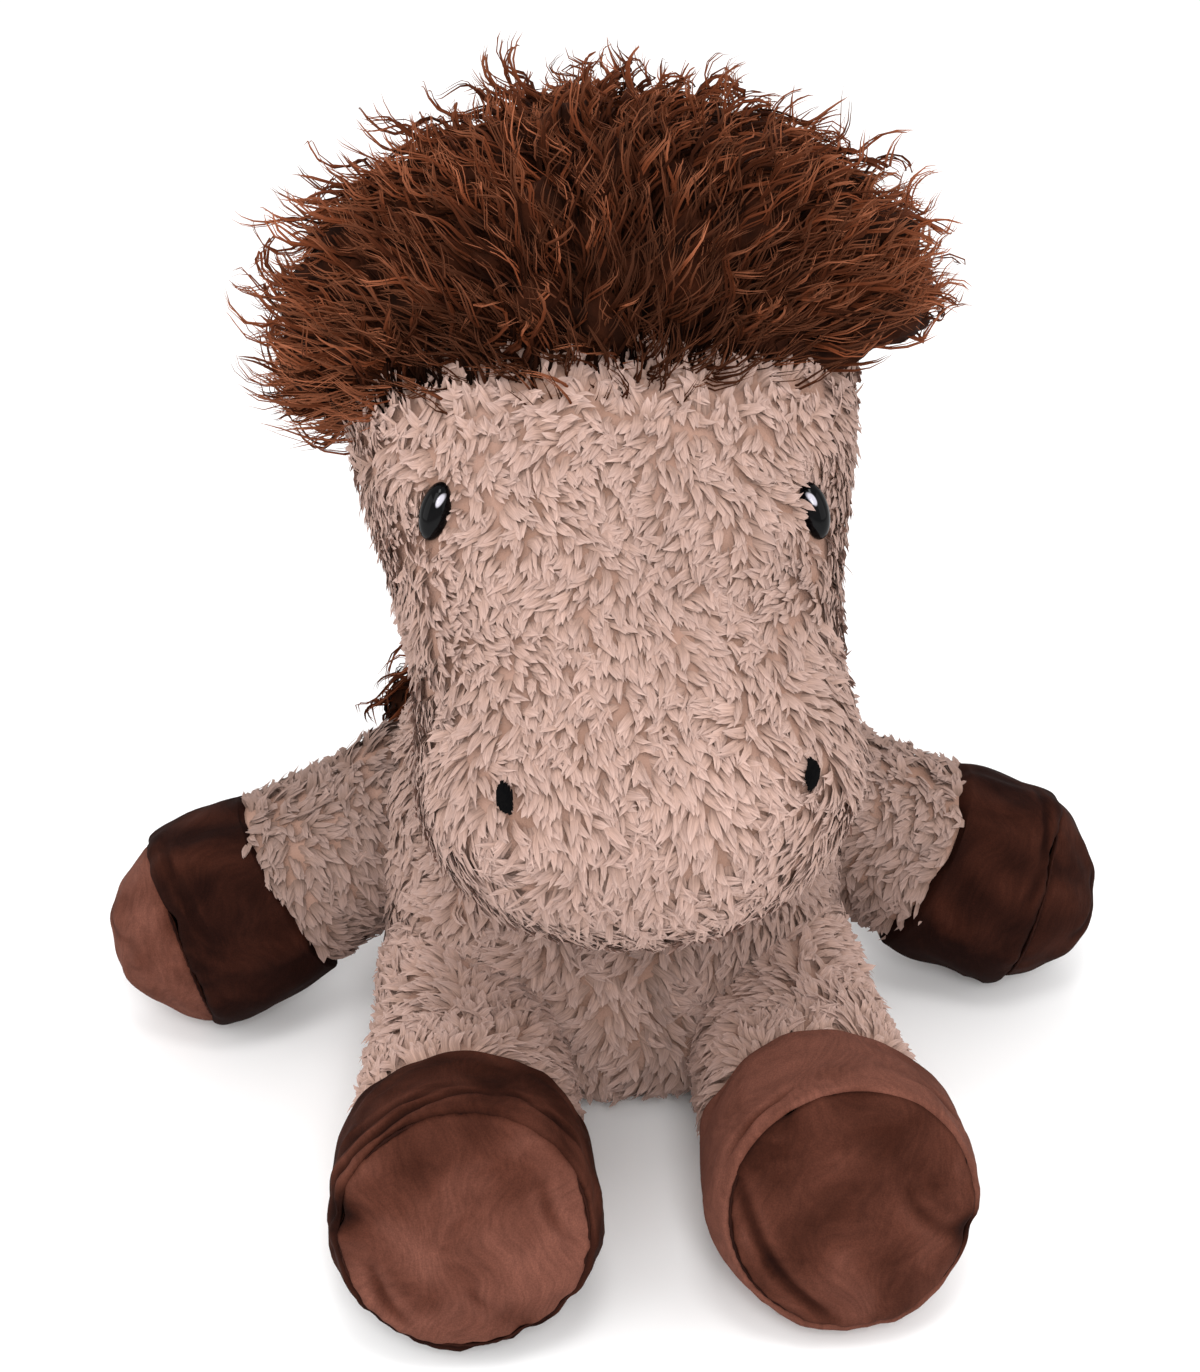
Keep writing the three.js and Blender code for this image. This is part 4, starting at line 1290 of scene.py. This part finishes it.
def hanging_hair(name, surface, body, way, front, hang, rng, depth=0.009):
    """Locks that lie over a form behind its `front`: each starts inside it and upstream, `hang` of
    the way along from pole to pole, and ends on the surface."""
    share, angle = scatter(surface, HANGING_SPACING, rng, 0.0, (0.03, 0.97))
    ends = surface(share, angle)
    out = normals_at(surface, share, angle, 0.0)
    start = surface(np.clip(share + hang, 0.04, 0.96), angle, depth)
    shown = ends[:, 1] > front
    start, ends, out = start[shown], ends[shown], out[shown]
    flow = unit(combed(out, way) + rng.normal(0, 0.2, out.shape))
    ends = ends + flow * rng.uniform(-0.002, 0.010, (len(ends), 1))
    leave = unit(out + 0.3 * flow)
    locks = curly_locks(f"{name}_locks", start, ends, leave, flow, out, rng, waves=2.0)
    core = core_piece(f"{name}_core", lambda s, a: surface(s, a, depth), relief=0.002)
    for piece in (locks, core):
        dress(piece, body)
    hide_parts(name)


# %% Neck mane, back mane and tail
DOWN_THE_BACK = (0, 0.25, -1)
HANGING = {
    "neck_mane": (pad_surface(NECK_MANE), "neck", DOWN_THE_BACK, 0.015, 0.3),
    "back_mane": (pad_surface(BACK_MANE), "torso", DOWN_THE_BACK, 0.055, 0.3),
    "tail": (tail_surface, "tail", (0, 1, -0.2), 0.100, -0.3),
}
rng = np.random.default_rng(5)
for name, place in HANGING.items():
    hanging_hair(name, *place, rng)

# %% [markdown]
# ## Ears
#
# Two small ears stand in the mane, which hides all but a pale edge of them. Each is a leaf of the
# body cloth, widest low down and cupped towards the front, with short pile on it.

# %% Ears
EAR = {"height": 0.076, "width": 0.042, "thickness": 0.014, "root_height": 0.096, "root_angle": 45}
EAR_SUNK, EAR_SPLAY = 0.010, 3.0
EAR_FORM = {
    "width": EAR["width"],
    "depth": EAR["thickness"],
    "bottom": -EAR_SUNK,
    "top": EAR["height"],
    "bottom_cap": EAR_SUNK,
    "top_cap": EAR["height"] / 4,
    "squareness": 2,
    "width_shares": [0.62, 0.88, 1, 0.94, 0.7, 0.36],
    "depth_shares": [1, 1, 0.95, 0.85, 0.75, 0.6],
}
EAR_CUP = 0.005


def ear_surface(side):
    """A leaf on its root: a flat form, cupped by a parabola across its width."""
    back = np.radians(EAR["root_angle"])
    turn = back if side > 0 else np.pi - back
    root = to_head(at_height(HEAD, np.array(EAR["root_height"]), np.array(turn)))
    axes = HEAD_AXES @ turn_matrix("y", side * EAR_SPLAY)

    def surface(share, angle, inset=0.0):
        points = on_form(EAR_FORM, share, angle, inset)
        across = points[..., 0] / (EAR["width"] / 2)
        points[..., 1] -= EAR_CUP * across**2 * np.clip(points[..., 2] / 0.02, 0, 1)
        return points @ axes.T + root

    return surface


for seed, (word, side) in enumerate(SIDES.items()):
    surface = ear_surface(side)
    leaf = skin(f"ear_{word}_skin", surface, (40, 40), 0.003)
    dress(leaf, "head", replaces=(f"ear_{word}",))
    rng = np.random.default_rng(30 + seed)
    options = {"coarse": 1.25, "length": lambda roots: np.full(len(roots), 0.009)}
    (short,) = grow_pile([f"ear_{word}_pile"], surface, HEAD_AXES[:, 2], rng, **options)
    dress(short, "head")

# %% [markdown]
# ## Hooves
#
# A hoof is a cuff of velvety cloth and a round sole, sewn together edge to edge and stuffed hard.
# The stuffing domes the sole, and the seam draws in with small puckers, since the cuff is gathered
# onto the sole. So the shape is a turned profile with a groove, plus puckers that die away from it.
#
# No two hooves are alike: each has its own folds round the cuff, creases across the sole, places where the
# seam is pinched, and its own painted sheen from the lie of the cloth. Folds and pinches are placed by the
# angle round the hoof, from the horse's left over its top; creases by where they run across the sole.
# `cuff` and `sole` each give how pale the painted sheen is, and how much it changes across and up the hoof.

# %% The looks of each hoof
HOOF_LOOKS = {
    "leg_right": {
        "cuff": (0.30, (0.05, 0.05)),
        "sole": (0.78, (0.14, -0.32)),
        "folds": [(80, 205, 0.008, 0.0020), (100, 190, 0.016, 0.0017), (25, 75, 0.013, 0.0012)],
        "creases": [
            ((0.030, 0.020), (0.044, -0.006), 0.0012),
            ((0.002, -0.020), (0.008, -0.028), 0.0010),
            ((-0.036, -0.012), (-0.022, -0.036), 0.0014),
        ],
        "pinches": [(170, 0.0030), (300, 0.0014)],
    },
    "leg_left": {
        "cuff": (0.98, (-0.10, 0.05)),
        "sole": (0.50, (0.08, -0.12)),
        "folds": [(110, 160, 0.009, 0.0018), (20, 70, 0.014, 0.0011)],
        "creases": [
            ((-0.044, 0.016), (-0.009, -0.045), 0.0017),
            ((0.020, 0.010), (0.036, -0.010), 0.0009),
        ],
        "pinches": [(345, 0.0030), (120, 0.0014)],
    },
    "arm_right": {
        "cuff": (0.03, (0.0, 0.08)),
        "sole": (0.95, (-0.10, -0.12)),
        "folds": [(40, 120, 0.010, 0.0012), (230, 320, 0.012, 0.0012)],
        "creases": [
            ((-0.020, 0.012), (0.012, 0.020), 0.0010),
            ((-0.008, -0.024), (0.016, -0.014), 0.0012),
        ],
        "pinches": [(60, 0.0018)],
    },
    "arm_left": {
        "cuff": (0.03, (0.0, 0.08)),
        "sole": (0.22, (0.10, 0.05)),
        "folds": [(60, 140, 0.009, 0.0014), (200, 260, 0.014, 0.0010)],
        "creases": [
            ((-0.024, 0.006), (0.004, 0.016), 0.0012),
            ((-0.004, -0.020), (0.018, -0.004), 0.0010),
        ],
        "pinches": [(110, 0.0020)],
    },
}


# %% Folds, creases and pinches


def wrapped(angle):
    """An angle brought to between -pi and pi."""
    return (angle + np.pi) % (2 * np.pi) - np.pi


def dent(distance, depth, width):
    """A soft valley with a low ridge on each side: -exp(-d^2) + 0.35 exp(-(|d| - 2)^2)."""
    d = np.abs(distance) / width
    return depth * (0.35 * np.exp(-((d - 2) ** 2)) - np.exp(-(d**2)))


def fold_depths(look, angle, away):
    """Folds that run round the cuff at a distance from the seam, between two angles."""
    total = np.zeros(np.broadcast_shapes(angle.shape, away.shape))
    for start, end, place, depth in look["folds"]:
        middle, half = np.radians((start + end) / 2), np.radians((end - start) / 2)
        off = wrapped(angle - middle)
        wander = 0.0020 * np.sin(2.2 * off + start) + 0.004 * (off / half) ** 2
        total += dent(away - place - wander, depth, 0.0019) * np.exp(-((off / half) ** 4))
    return total


def crease_depths(look, x, y):
    """Creases that run across the sole along short lines."""
    total = np.zeros(np.broadcast_shapes(x.shape, y.shape))
    for start, end, depth in look["creases"]:
        way = np.subtract(end, start)
        t = np.clip(((x - start[0]) * way[0] + (y - start[1]) * way[1]) / (way @ way), 0, 1)
        bow = 0.10 * np.hypot(*way) * np.sin(np.pi * t)
        gap = np.hypot(x - start[0] - t * way[0], y - start[1] - t * way[1])
        side = np.sign((x - start[0]) * way[1] - (y - start[1]) * way[0])
        fade = 0.25 + 0.75 * np.sin(np.pi * np.clip(t, 0.02, 0.98)) ** 0.5
        total += dent(gap * side - bow, depth, 0.0024) * fade
    return total


def pinch_depths(look, angle, away):
    """Places where the thread pulls the seam in further."""
    total = np.zeros(np.broadcast_shapes(angle.shape, away.shape))
    for place, depth in look["pinches"]:
        off = wrapped(angle - np.radians(place))
        total -= depth * np.exp(-((off / 0.14) ** 2) - (away / 0.010) ** 2)
    return total


# %% Profiles of a hoof
CUFF_SHARES = [(-0.10, -0.02), (0.30, 0.05), (0.84, 0.25), (1.04, 0.5), (0.98, 0.76), (0.66, 0.92)]
CUFF_TUCK = (0.008, 0.004)  # inwards and back into the sleeve
SEAM_DRAW = 0.0050  # how far the thread draws the seam in
SOLE_RINGS, CUFF_RINGS, HOOF_SIDES = 34, 30, 120
PUCKERS = {"count": 31, "depth": 0.0004, "reach": 0.008}
STITCHING = {"steps": 240, "sides": 6, "radius": 0.0006, "twists": 60}
HOOF_LUMPS = [(2, 0.0012, 0.045), (3, 0.0005, 0.018)]  # added to the seed, height, wavelength
# Painted shade: the colour darkens in folds and creases and pales on their low ridges, by this much for
# each metre of relief.
RELIEF_PAINTED_SHADE = 240  # change of stroke for each metre of relief


def smooth_profile(knots, count):
    """A Catmull-Rom curve through (radius, height) knots, read at even steps."""
    knots = np.asarray(knots, float)
    t = np.linspace(0, 1, count)
    return np.stack([read_shares(knots[:, 0], t), read_shares(knots[:, 1], t)], -1)


def hoof_profiles(limb):
    """[radius, height] profiles of a cuff, from inside the sleeve to the seam, and of a sole."""
    _, hoof_end, sleeve_end = limb_lengths(limb)
    thin, fat = limb["sleeve"], limb["hoof"]
    knots = [(thin - CUFF_TUCK[0], sleeve_end - CUFF_TUCK[1])]
    knots += [(thin + (fat - thin) * r, sleeve_end + limb["hoof_length"] * h) for r, h in CUFF_SHARES]
    seam = (fat - SEAM_DRAW, hoof_end + 0.0002)
    knots += [(fat - 0.0028, hoof_end - 0.0008), seam]
    rise = limb["bulge"] + HOOF_CLOTH
    sole = [seam]
    for share in (0.97, 0.86, 0.66, 0.4, 0.0):
        sole.append((seam[0] * share, hoof_end + 0.0012 + (rise - 0.0012) * (1 - share**2) ** 0.85))
    return smooth_profile(knots, CUFF_RINGS), smooth_profile(sole, SOLE_RINGS), seam


# %% Turning a hoof's cloth


def hoof_shell(name, limb, side, profile, seam, seed, look, part, thickness=0.003):
    """Turns a profile into cloth with a thickness: the outer face, and the same drawn inwards."""
    angle = once_round(HOOF_SIDES)[None, :]
    radius, height = profile[:, :1], profile[:, 1:]
    away = np.hypot(radius - seam[0], height - seam[1])
    ring = np.stack([np.cos(angle[0]), np.sin(angle[0]), np.zeros(HOOF_SIDES)], -1)
    wander = 1.2 * swirl(ring, 2.2, seed)
    folds = np.sin(PUCKERS["count"] * angle + 3 * wander) * (0.6 + 0.4 * swirl(ring, 1.1, seed + 1))
    relief = PUCKERS["depth"] * folds * np.exp(-((away / PUCKERS["reach"]) ** 2))
    x, y = radius * np.cos(angle), radius * np.sin(angle)
    own = fold_depths(look, angle, away) if part == "cuff" else crease_depths(look, x, y)
    own = own + pinch_depths(look, angle, away)
    relief = relief + own
    slope = np.gradient(profile, axis=0)
    slope = slope / np.linalg.norm(slope, axis=1, keepdims=True)
    out = np.stack([slope[:, 1], -slope[:, 0]], -1)
    layers = []
    for inset in (0.0, thickness):
        r = radius + out[:, :1] * (relief - inset)
        h = height + out[:, 1:] * (relief - inset)
        layers.append(place_on_limb(limb, side, np.maximum(r, 0), h, angle))
    flat = layers[0].reshape(-1, 3)
    shape = layers[0].shape[:2]
    lumps = sum(tall * swirl(flat, wave, seed + i) for i, tall, wave in HOOF_LUMPS)
    lumps = lumps.reshape(shape)[..., None]
    outward = place_on_limb(limb, side, radius + out[:, :1] * 1e-3, height + out[:, 1:] * 1e-3, angle)
    inward = place_on_limb(limb, side, radius, height, angle)
    way = unit(outward - inward)
    layers = [layer + way * lumps for layer in layers]
    loop = np.concatenate([layers[0], layers[1][::-1]])
    loop[..., 2] = np.maximum(loop[..., 2], SEAT_HEIGHT)
    base, lean = look[part]
    # Painted sheen from the lie of the velvet, paler or darker across the hoof, with painted shade in
    # folds, creases and pinches.
    painted_sheen_and_shade = base + (lean[0] * x + lean[1] * y) / limb["hoof"] + RELIEF_PAINTED_SHADE * own
    painted_sheen_and_shade = painted_sheen_and_shade + 0.12 * swirl(flat, 0.03, seed + 4).reshape(shape)
    # Painted shade along the seam, where the thread draws it in.
    painted_sheen_and_shade = painted_sheen_and_shade - 0.2 * np.exp(-((away / 0.0015) ** 2))
    painted_sheen_and_shade = np.clip(np.concatenate([painted_sheen_and_shade, painted_sheen_and_shade[::-1]]), 0, 1)
    faces = [ring_faces(len(loop), HOOF_SIDES)]
    piece = add_mesh(name, loop.reshape(-1, 3), faces, {"painted_sheen_and_shade": painted_sheen_and_shade.ravel()})
    return finished(piece, hoof_velvet)


# %% Stitching of a hoof


def seam_ring(name, limb, side, seam, look):
    """The stitches that pull the seam in: a fine cord round it, with a twist in its thickness."""
    turns = once_round(STITCHING["steps"])
    round_ = -once_round(STITCHING["sides"])
    thick = STITCHING["radius"]
    size = thick * (1 + 0.3 * np.sin(STITCHING["twists"] * turns))[:, None]
    drawn = pinch_depths(look, turns, np.zeros(1))[:, None]
    radius = seam[0] - thick + drawn + size * np.cos(round_)
    height = seam[1] + size * np.sin(round_)
    points = place_on_limb(limb, side, radius, height, turns[:, None])
    faces = [ring_faces(STITCHING["steps"], STITCHING["sides"])]
    piece = add_mesh(name, points.reshape(-1, 3), faces)
    return finished(piece, seam_thread)


# %% Hooves
for seed, (name, (limb, side)) in enumerate(LIMBS.items()):
    cuff, sole, seam = hoof_profiles(limb)
    look = HOOF_LOOKS[name]
    pieces = {
        f"{name}_hoof_cuff": (cuff, "cuff", f"{name}_hoof_band"),
        f"{name}_hoof_pad": (sole, "sole", f"{name}_hoof_sole"),
    }
    for piece_name, (profile, part, node) in pieces.items():
        piece = hoof_shell(piece_name, limb, side, profile, seam, 40 + 10 * seed, look, part)
        dress(piece, name, replaces=(node,))
    dress(seam_ring(f"{name}_hoof_stitching", limb, side, seam, look), name)

# %% [markdown]
# ## Eyes and nostrils
#
# The eyes are moulded black domes. Only a shank and a washer hold them, so they sit in the pile, and their
# gloss, with a painted highlight, a white oval in their colour high on the side towards the nose, carries
# most of the toy's expression. The nostrils are worked in black satin stitch: threads side by side, close
# enough to look solid, with an uneven edge.

# %% Materials of the face


# A painted highlight: a white oval in the eyes' colour, high on the side towards the nose, where a lamp's
# reflection sits.
PAINTED_HIGHLIGHT = {"middle": (0.0034, 0.0054, 0.0), "half": (0.0009, 0.0027)}


def gloss_material(name, tint, highlight_colour):
    """Moulded plastic with faint waves from the mould, and a painted highlight on it: a white oval in its
    colour, where the distance from its middle, in times its half sizes, is below 1."""
    material, shader, node, link = new_material(name)
    waves = noise(node, on_object(node), 180.0)
    shade = ramp(node, waves, [(0.3, tint), (0.7, colour(7, 6, 7))])
    from_middle = vector_math(node, "SUBTRACT", kept(node, "own", "Vector"), PAINTED_HIGHLIGHT["middle"])
    stretch = (1 / PAINTED_HIGHLIGHT["half"][0], 1 / PAINTED_HIGHLIGHT["half"][1], 0.0)
    away = vector_math(node, "LENGTH", vector_math(node, "MULTIPLY", from_middle, stretch))
    highlight_mask = ranged(node, away, 1.0, 0.0, 0.75, 1.1)
    tinted = node("ShaderNodeMix", {0: highlight_mask, 6: shade, 7: highlight_colour}, data_type="RGBA")
    link(tinted.outputs[2], shader.inputs["Base Color"])
    link(ranged(node, waves, 0.04, 0.1), shader.inputs["Roughness"])
    link(bump(node, waves, 0.05, 0.0003), shader.inputs["Normal"])
    shader.inputs["Specular IOR Level"].default_value = 0.12
    return material


def matte_material(name, tint, shade, roughness):
    """Plain plastic or thread with a fine uneven surface."""
    material, shader, node, link = new_material(name)
    specks = noise(node, on_object(node), 700.0, 3.0)
    link(ramp(node, specks, [(0.3, shade), (0.7, tint)]), shader.inputs["Base Color"])
    link(ranged(node, specks, roughness - 0.1, roughness + 0.1), shader.inputs["Roughness"])
    link(bump(node, specks, 0.2, 0.0003), shader.inputs["Normal"])
    shader.inputs["Specular IOR Level"].default_value = 0.03
    return material


# The second colour is the painted highlight, the white oval on each eye.
eye_black = gloss_material("eye_black", colour(3, 3, 4), colour(176, 173, 182))
nostril_thread = matte_material("nostril_thread", colour(10, 9, 9), colour(3, 3, 4), 0.7)
washer_plastic = matte_material("washer_plastic", colour(232, 232, 228), colour(214, 214, 208), 0.5)

# %% Eyes
EYE_RINGS, EYE_SIDES = 28, 56
EYE_BACK = [(0.0025, -0.016), (0.0025, -0.002), (0.006, -0.0016)]  # radius and height: the shank


def eye_dome(word, side):
    """Half an ellipsoid on a short edge, and a shank behind: rings from the shank's end outwards."""
    middle, axes = face_frame(EYE, side)
    angle = once_round(EYE_SIDES)[None, :]
    bend = np.linspace(0, np.pi / 2 - 0.02, EYE_RINGS)[:, None]
    half = np.array([EYE["width"], EYE["height"]]) / 2
    dome = np.stack(
        [
            half[0] * np.cos(bend) * np.cos(angle),
            half[1] * np.cos(bend) * np.sin(angle),
            EYE["dome"] * np.sin(bend) * np.ones_like(angle),
        ],
        -1,
    )
    shank = np.stack([ring_at(radius, height, angle[0]) for radius, height in EYE_BACK])
    edge = dome[:1] * np.array([0.96, 0.96, 1]) - np.array([0, 0, 0.0012])
    local = np.concatenate([shank, edge, dome])
    points, faces = closed_grid(local @ axes.T + middle)
    # Places on the eye, mirrored so that the painted highlight sits towards the nose on both eyes.
    own = (points - middle) @ axes * np.array([-side, 1, 1])
    piece = add_mesh(f"eye_dome_{word}", points, faces, {"own": own})
    return finished(piece, eye_black)


def ring_at(radius, height, angle):
    """A ring of points round the z axis."""
    return np.stack([radius * np.cos(angle), radius * np.sin(angle), np.full_like(angle, height)], -1)


for word, side in SIDES.items():
    dress(eye_dome(word, side), "head", replaces=(f"eye_{word}",))
    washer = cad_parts[f"eye_washer_{word}"]
    washer.data.materials.clear()
    washer.data.materials.append(washer_plastic)

# %% Nostrils
THREADS, THREAD_STEPS, THREAD_SIDES = 13, 12, 6
THREAD_RADIUS = 0.00042


def nostril_stitches(word, side, seed):
    """Threads along the nostril: each a tube on an arch over one chord of the oval."""
    middle, axes = face_frame(NOSTRIL, side)
    rng = np.random.default_rng(seed)
    across = np.linspace(-0.94, 0.94, THREADS)
    chord = np.sqrt(1 - across**2) * rng.uniform(0.86, 1.06, THREADS)
    t = np.linspace(-1, 1, THREAD_STEPS)[None, :]
    x = across[:, None] * NOSTRIL["width"] / 2 + 0.0006 * t
    y = chord[:, None] * t * NOSTRIL["height"] / 2
    lift = 0.0022 * (1 - (chord[:, None] * t) ** 2) * np.sqrt(1 - 0.7 * across[:, None] ** 2)
    line = np.stack([x, y, lift + 0.0004], -1)
    round_ = once_round(THREAD_SIDES)
    ring = np.stack([np.cos(round_), np.zeros(THREAD_SIDES), np.sin(round_)], -1)
    taper = THREAD_RADIUS * np.sqrt(1 - (t * 0.92) ** 4)[..., None, None]
    tubes = line[:, :, None] + ring * taper
    points, quads, fans, shift = [], [], [], 0
    for tube in tubes:
        made, (sides, ends) = closed_grid(tube[:, ::-1])
        points.append(made)
        quads.append(sides + shift)
        fans.append(ends + shift)
        shift += len(made)
    world = np.vstack(points) @ axes.T + middle
    piece = add_mesh(f"nostril_{word}_stitches", world, [np.vstack(quads), np.vstack(fans)])
    return finished(piece, nostril_thread)


for seed, (word, side) in enumerate(SIDES.items()):
    stitches = nostril_stitches(word, side, 60 + seed)
    dress(stitches, "head", replaces=(f"nostril_{word}",))

# %% [markdown]
# ## Floor and light
#
# A pale floor and soft light from all round keep the shadows faint, as in a product picture. A
# lamp from the upper left gives the pile its relief, and small ones in front and above brighten
# the forehead and the muzzle, which face them.

# %% Floor


def add_floor(size=8.0):
    """One large pale square just under the toy."""
    half = size / 2
    corners = [(-half, -half, 0), (half, -half, 0), (half, half, 0), (-half, half, 0)]
    floor = add_mesh("floor", np.array(corners) - (0, 0, 0.0004), [np.array([[0, 1, 2, 3]])])
    material, shader, node, link = new_material("pale_floor")
    stops = [(0.3, colour(246, 245, 245)), (0.7, colour(250, 250, 250))]
    link(ramp(node, noise(node, on_object(node), 1.5), stops), shader.inputs["Base Color"])
    shader.inputs["Roughness"].default_value = 0.9
    floor.data.materials.append(material)
    return floor


add_floor()

# %% Lights
LAMPS = {
    "key": {"place": (-0.55, -1.1, 1.45), "size": (0.8, 0.8), "watts": 6.0},
    "front": {"place": (0.02, -1.35, 1.12), "size": (0.34, 0.46), "watts": 10.0},
    "left": {"place": (1.3, -0.8, 0.8), "size": (1.4, 1.4), "watts": 6.0},
    "right": {"place": (-1.4, -0.5, 0.7), "size": (1.2, 1.2), "watts": 6.0},
    "top": {"place": (0.0, -0.75, 1.95), "size": (0.5, 0.5), "watts": 7.5},
    "back": {"place": (0.2, 1.3, 1.5), "size": (1.0, 1.0), "watts": 8.0},
}


def add_lamp(name, place, size, watts):
    """An area lamp that looks at the toy's middle, with its sides level and upright."""
    data = bpy.data.lights.new(name, "AREA")
    data.shape = "RECTANGLE"
    data.size, data.size_y = size
    data.energy = watts
    lamp = bpy.data.objects.new(name, data)
    lamp.location = place
    lamp.rotation_mode = "QUATERNION"
    lamp.rotation_quaternion = (LOOK_AT - Vector(place)).to_track_quat("-Z", "Y")
    bpy.context.scene.collection.objects.link(lamp)
    return lamp


for name, lamp in LAMPS.items():
    add_lamp(name, **lamp)
world = bpy.data.worlds.new("studio")
world.use_nodes = True
world.node_tree.nodes["Background"].inputs["Color"].default_value = (1, 1, 1, 1)
world.node_tree.nodes["Background"].inputs["Strength"].default_value = 0.85
bpy.context.scene.world = world
bpy.context.scene.view_settings.view_transform = "Standard"
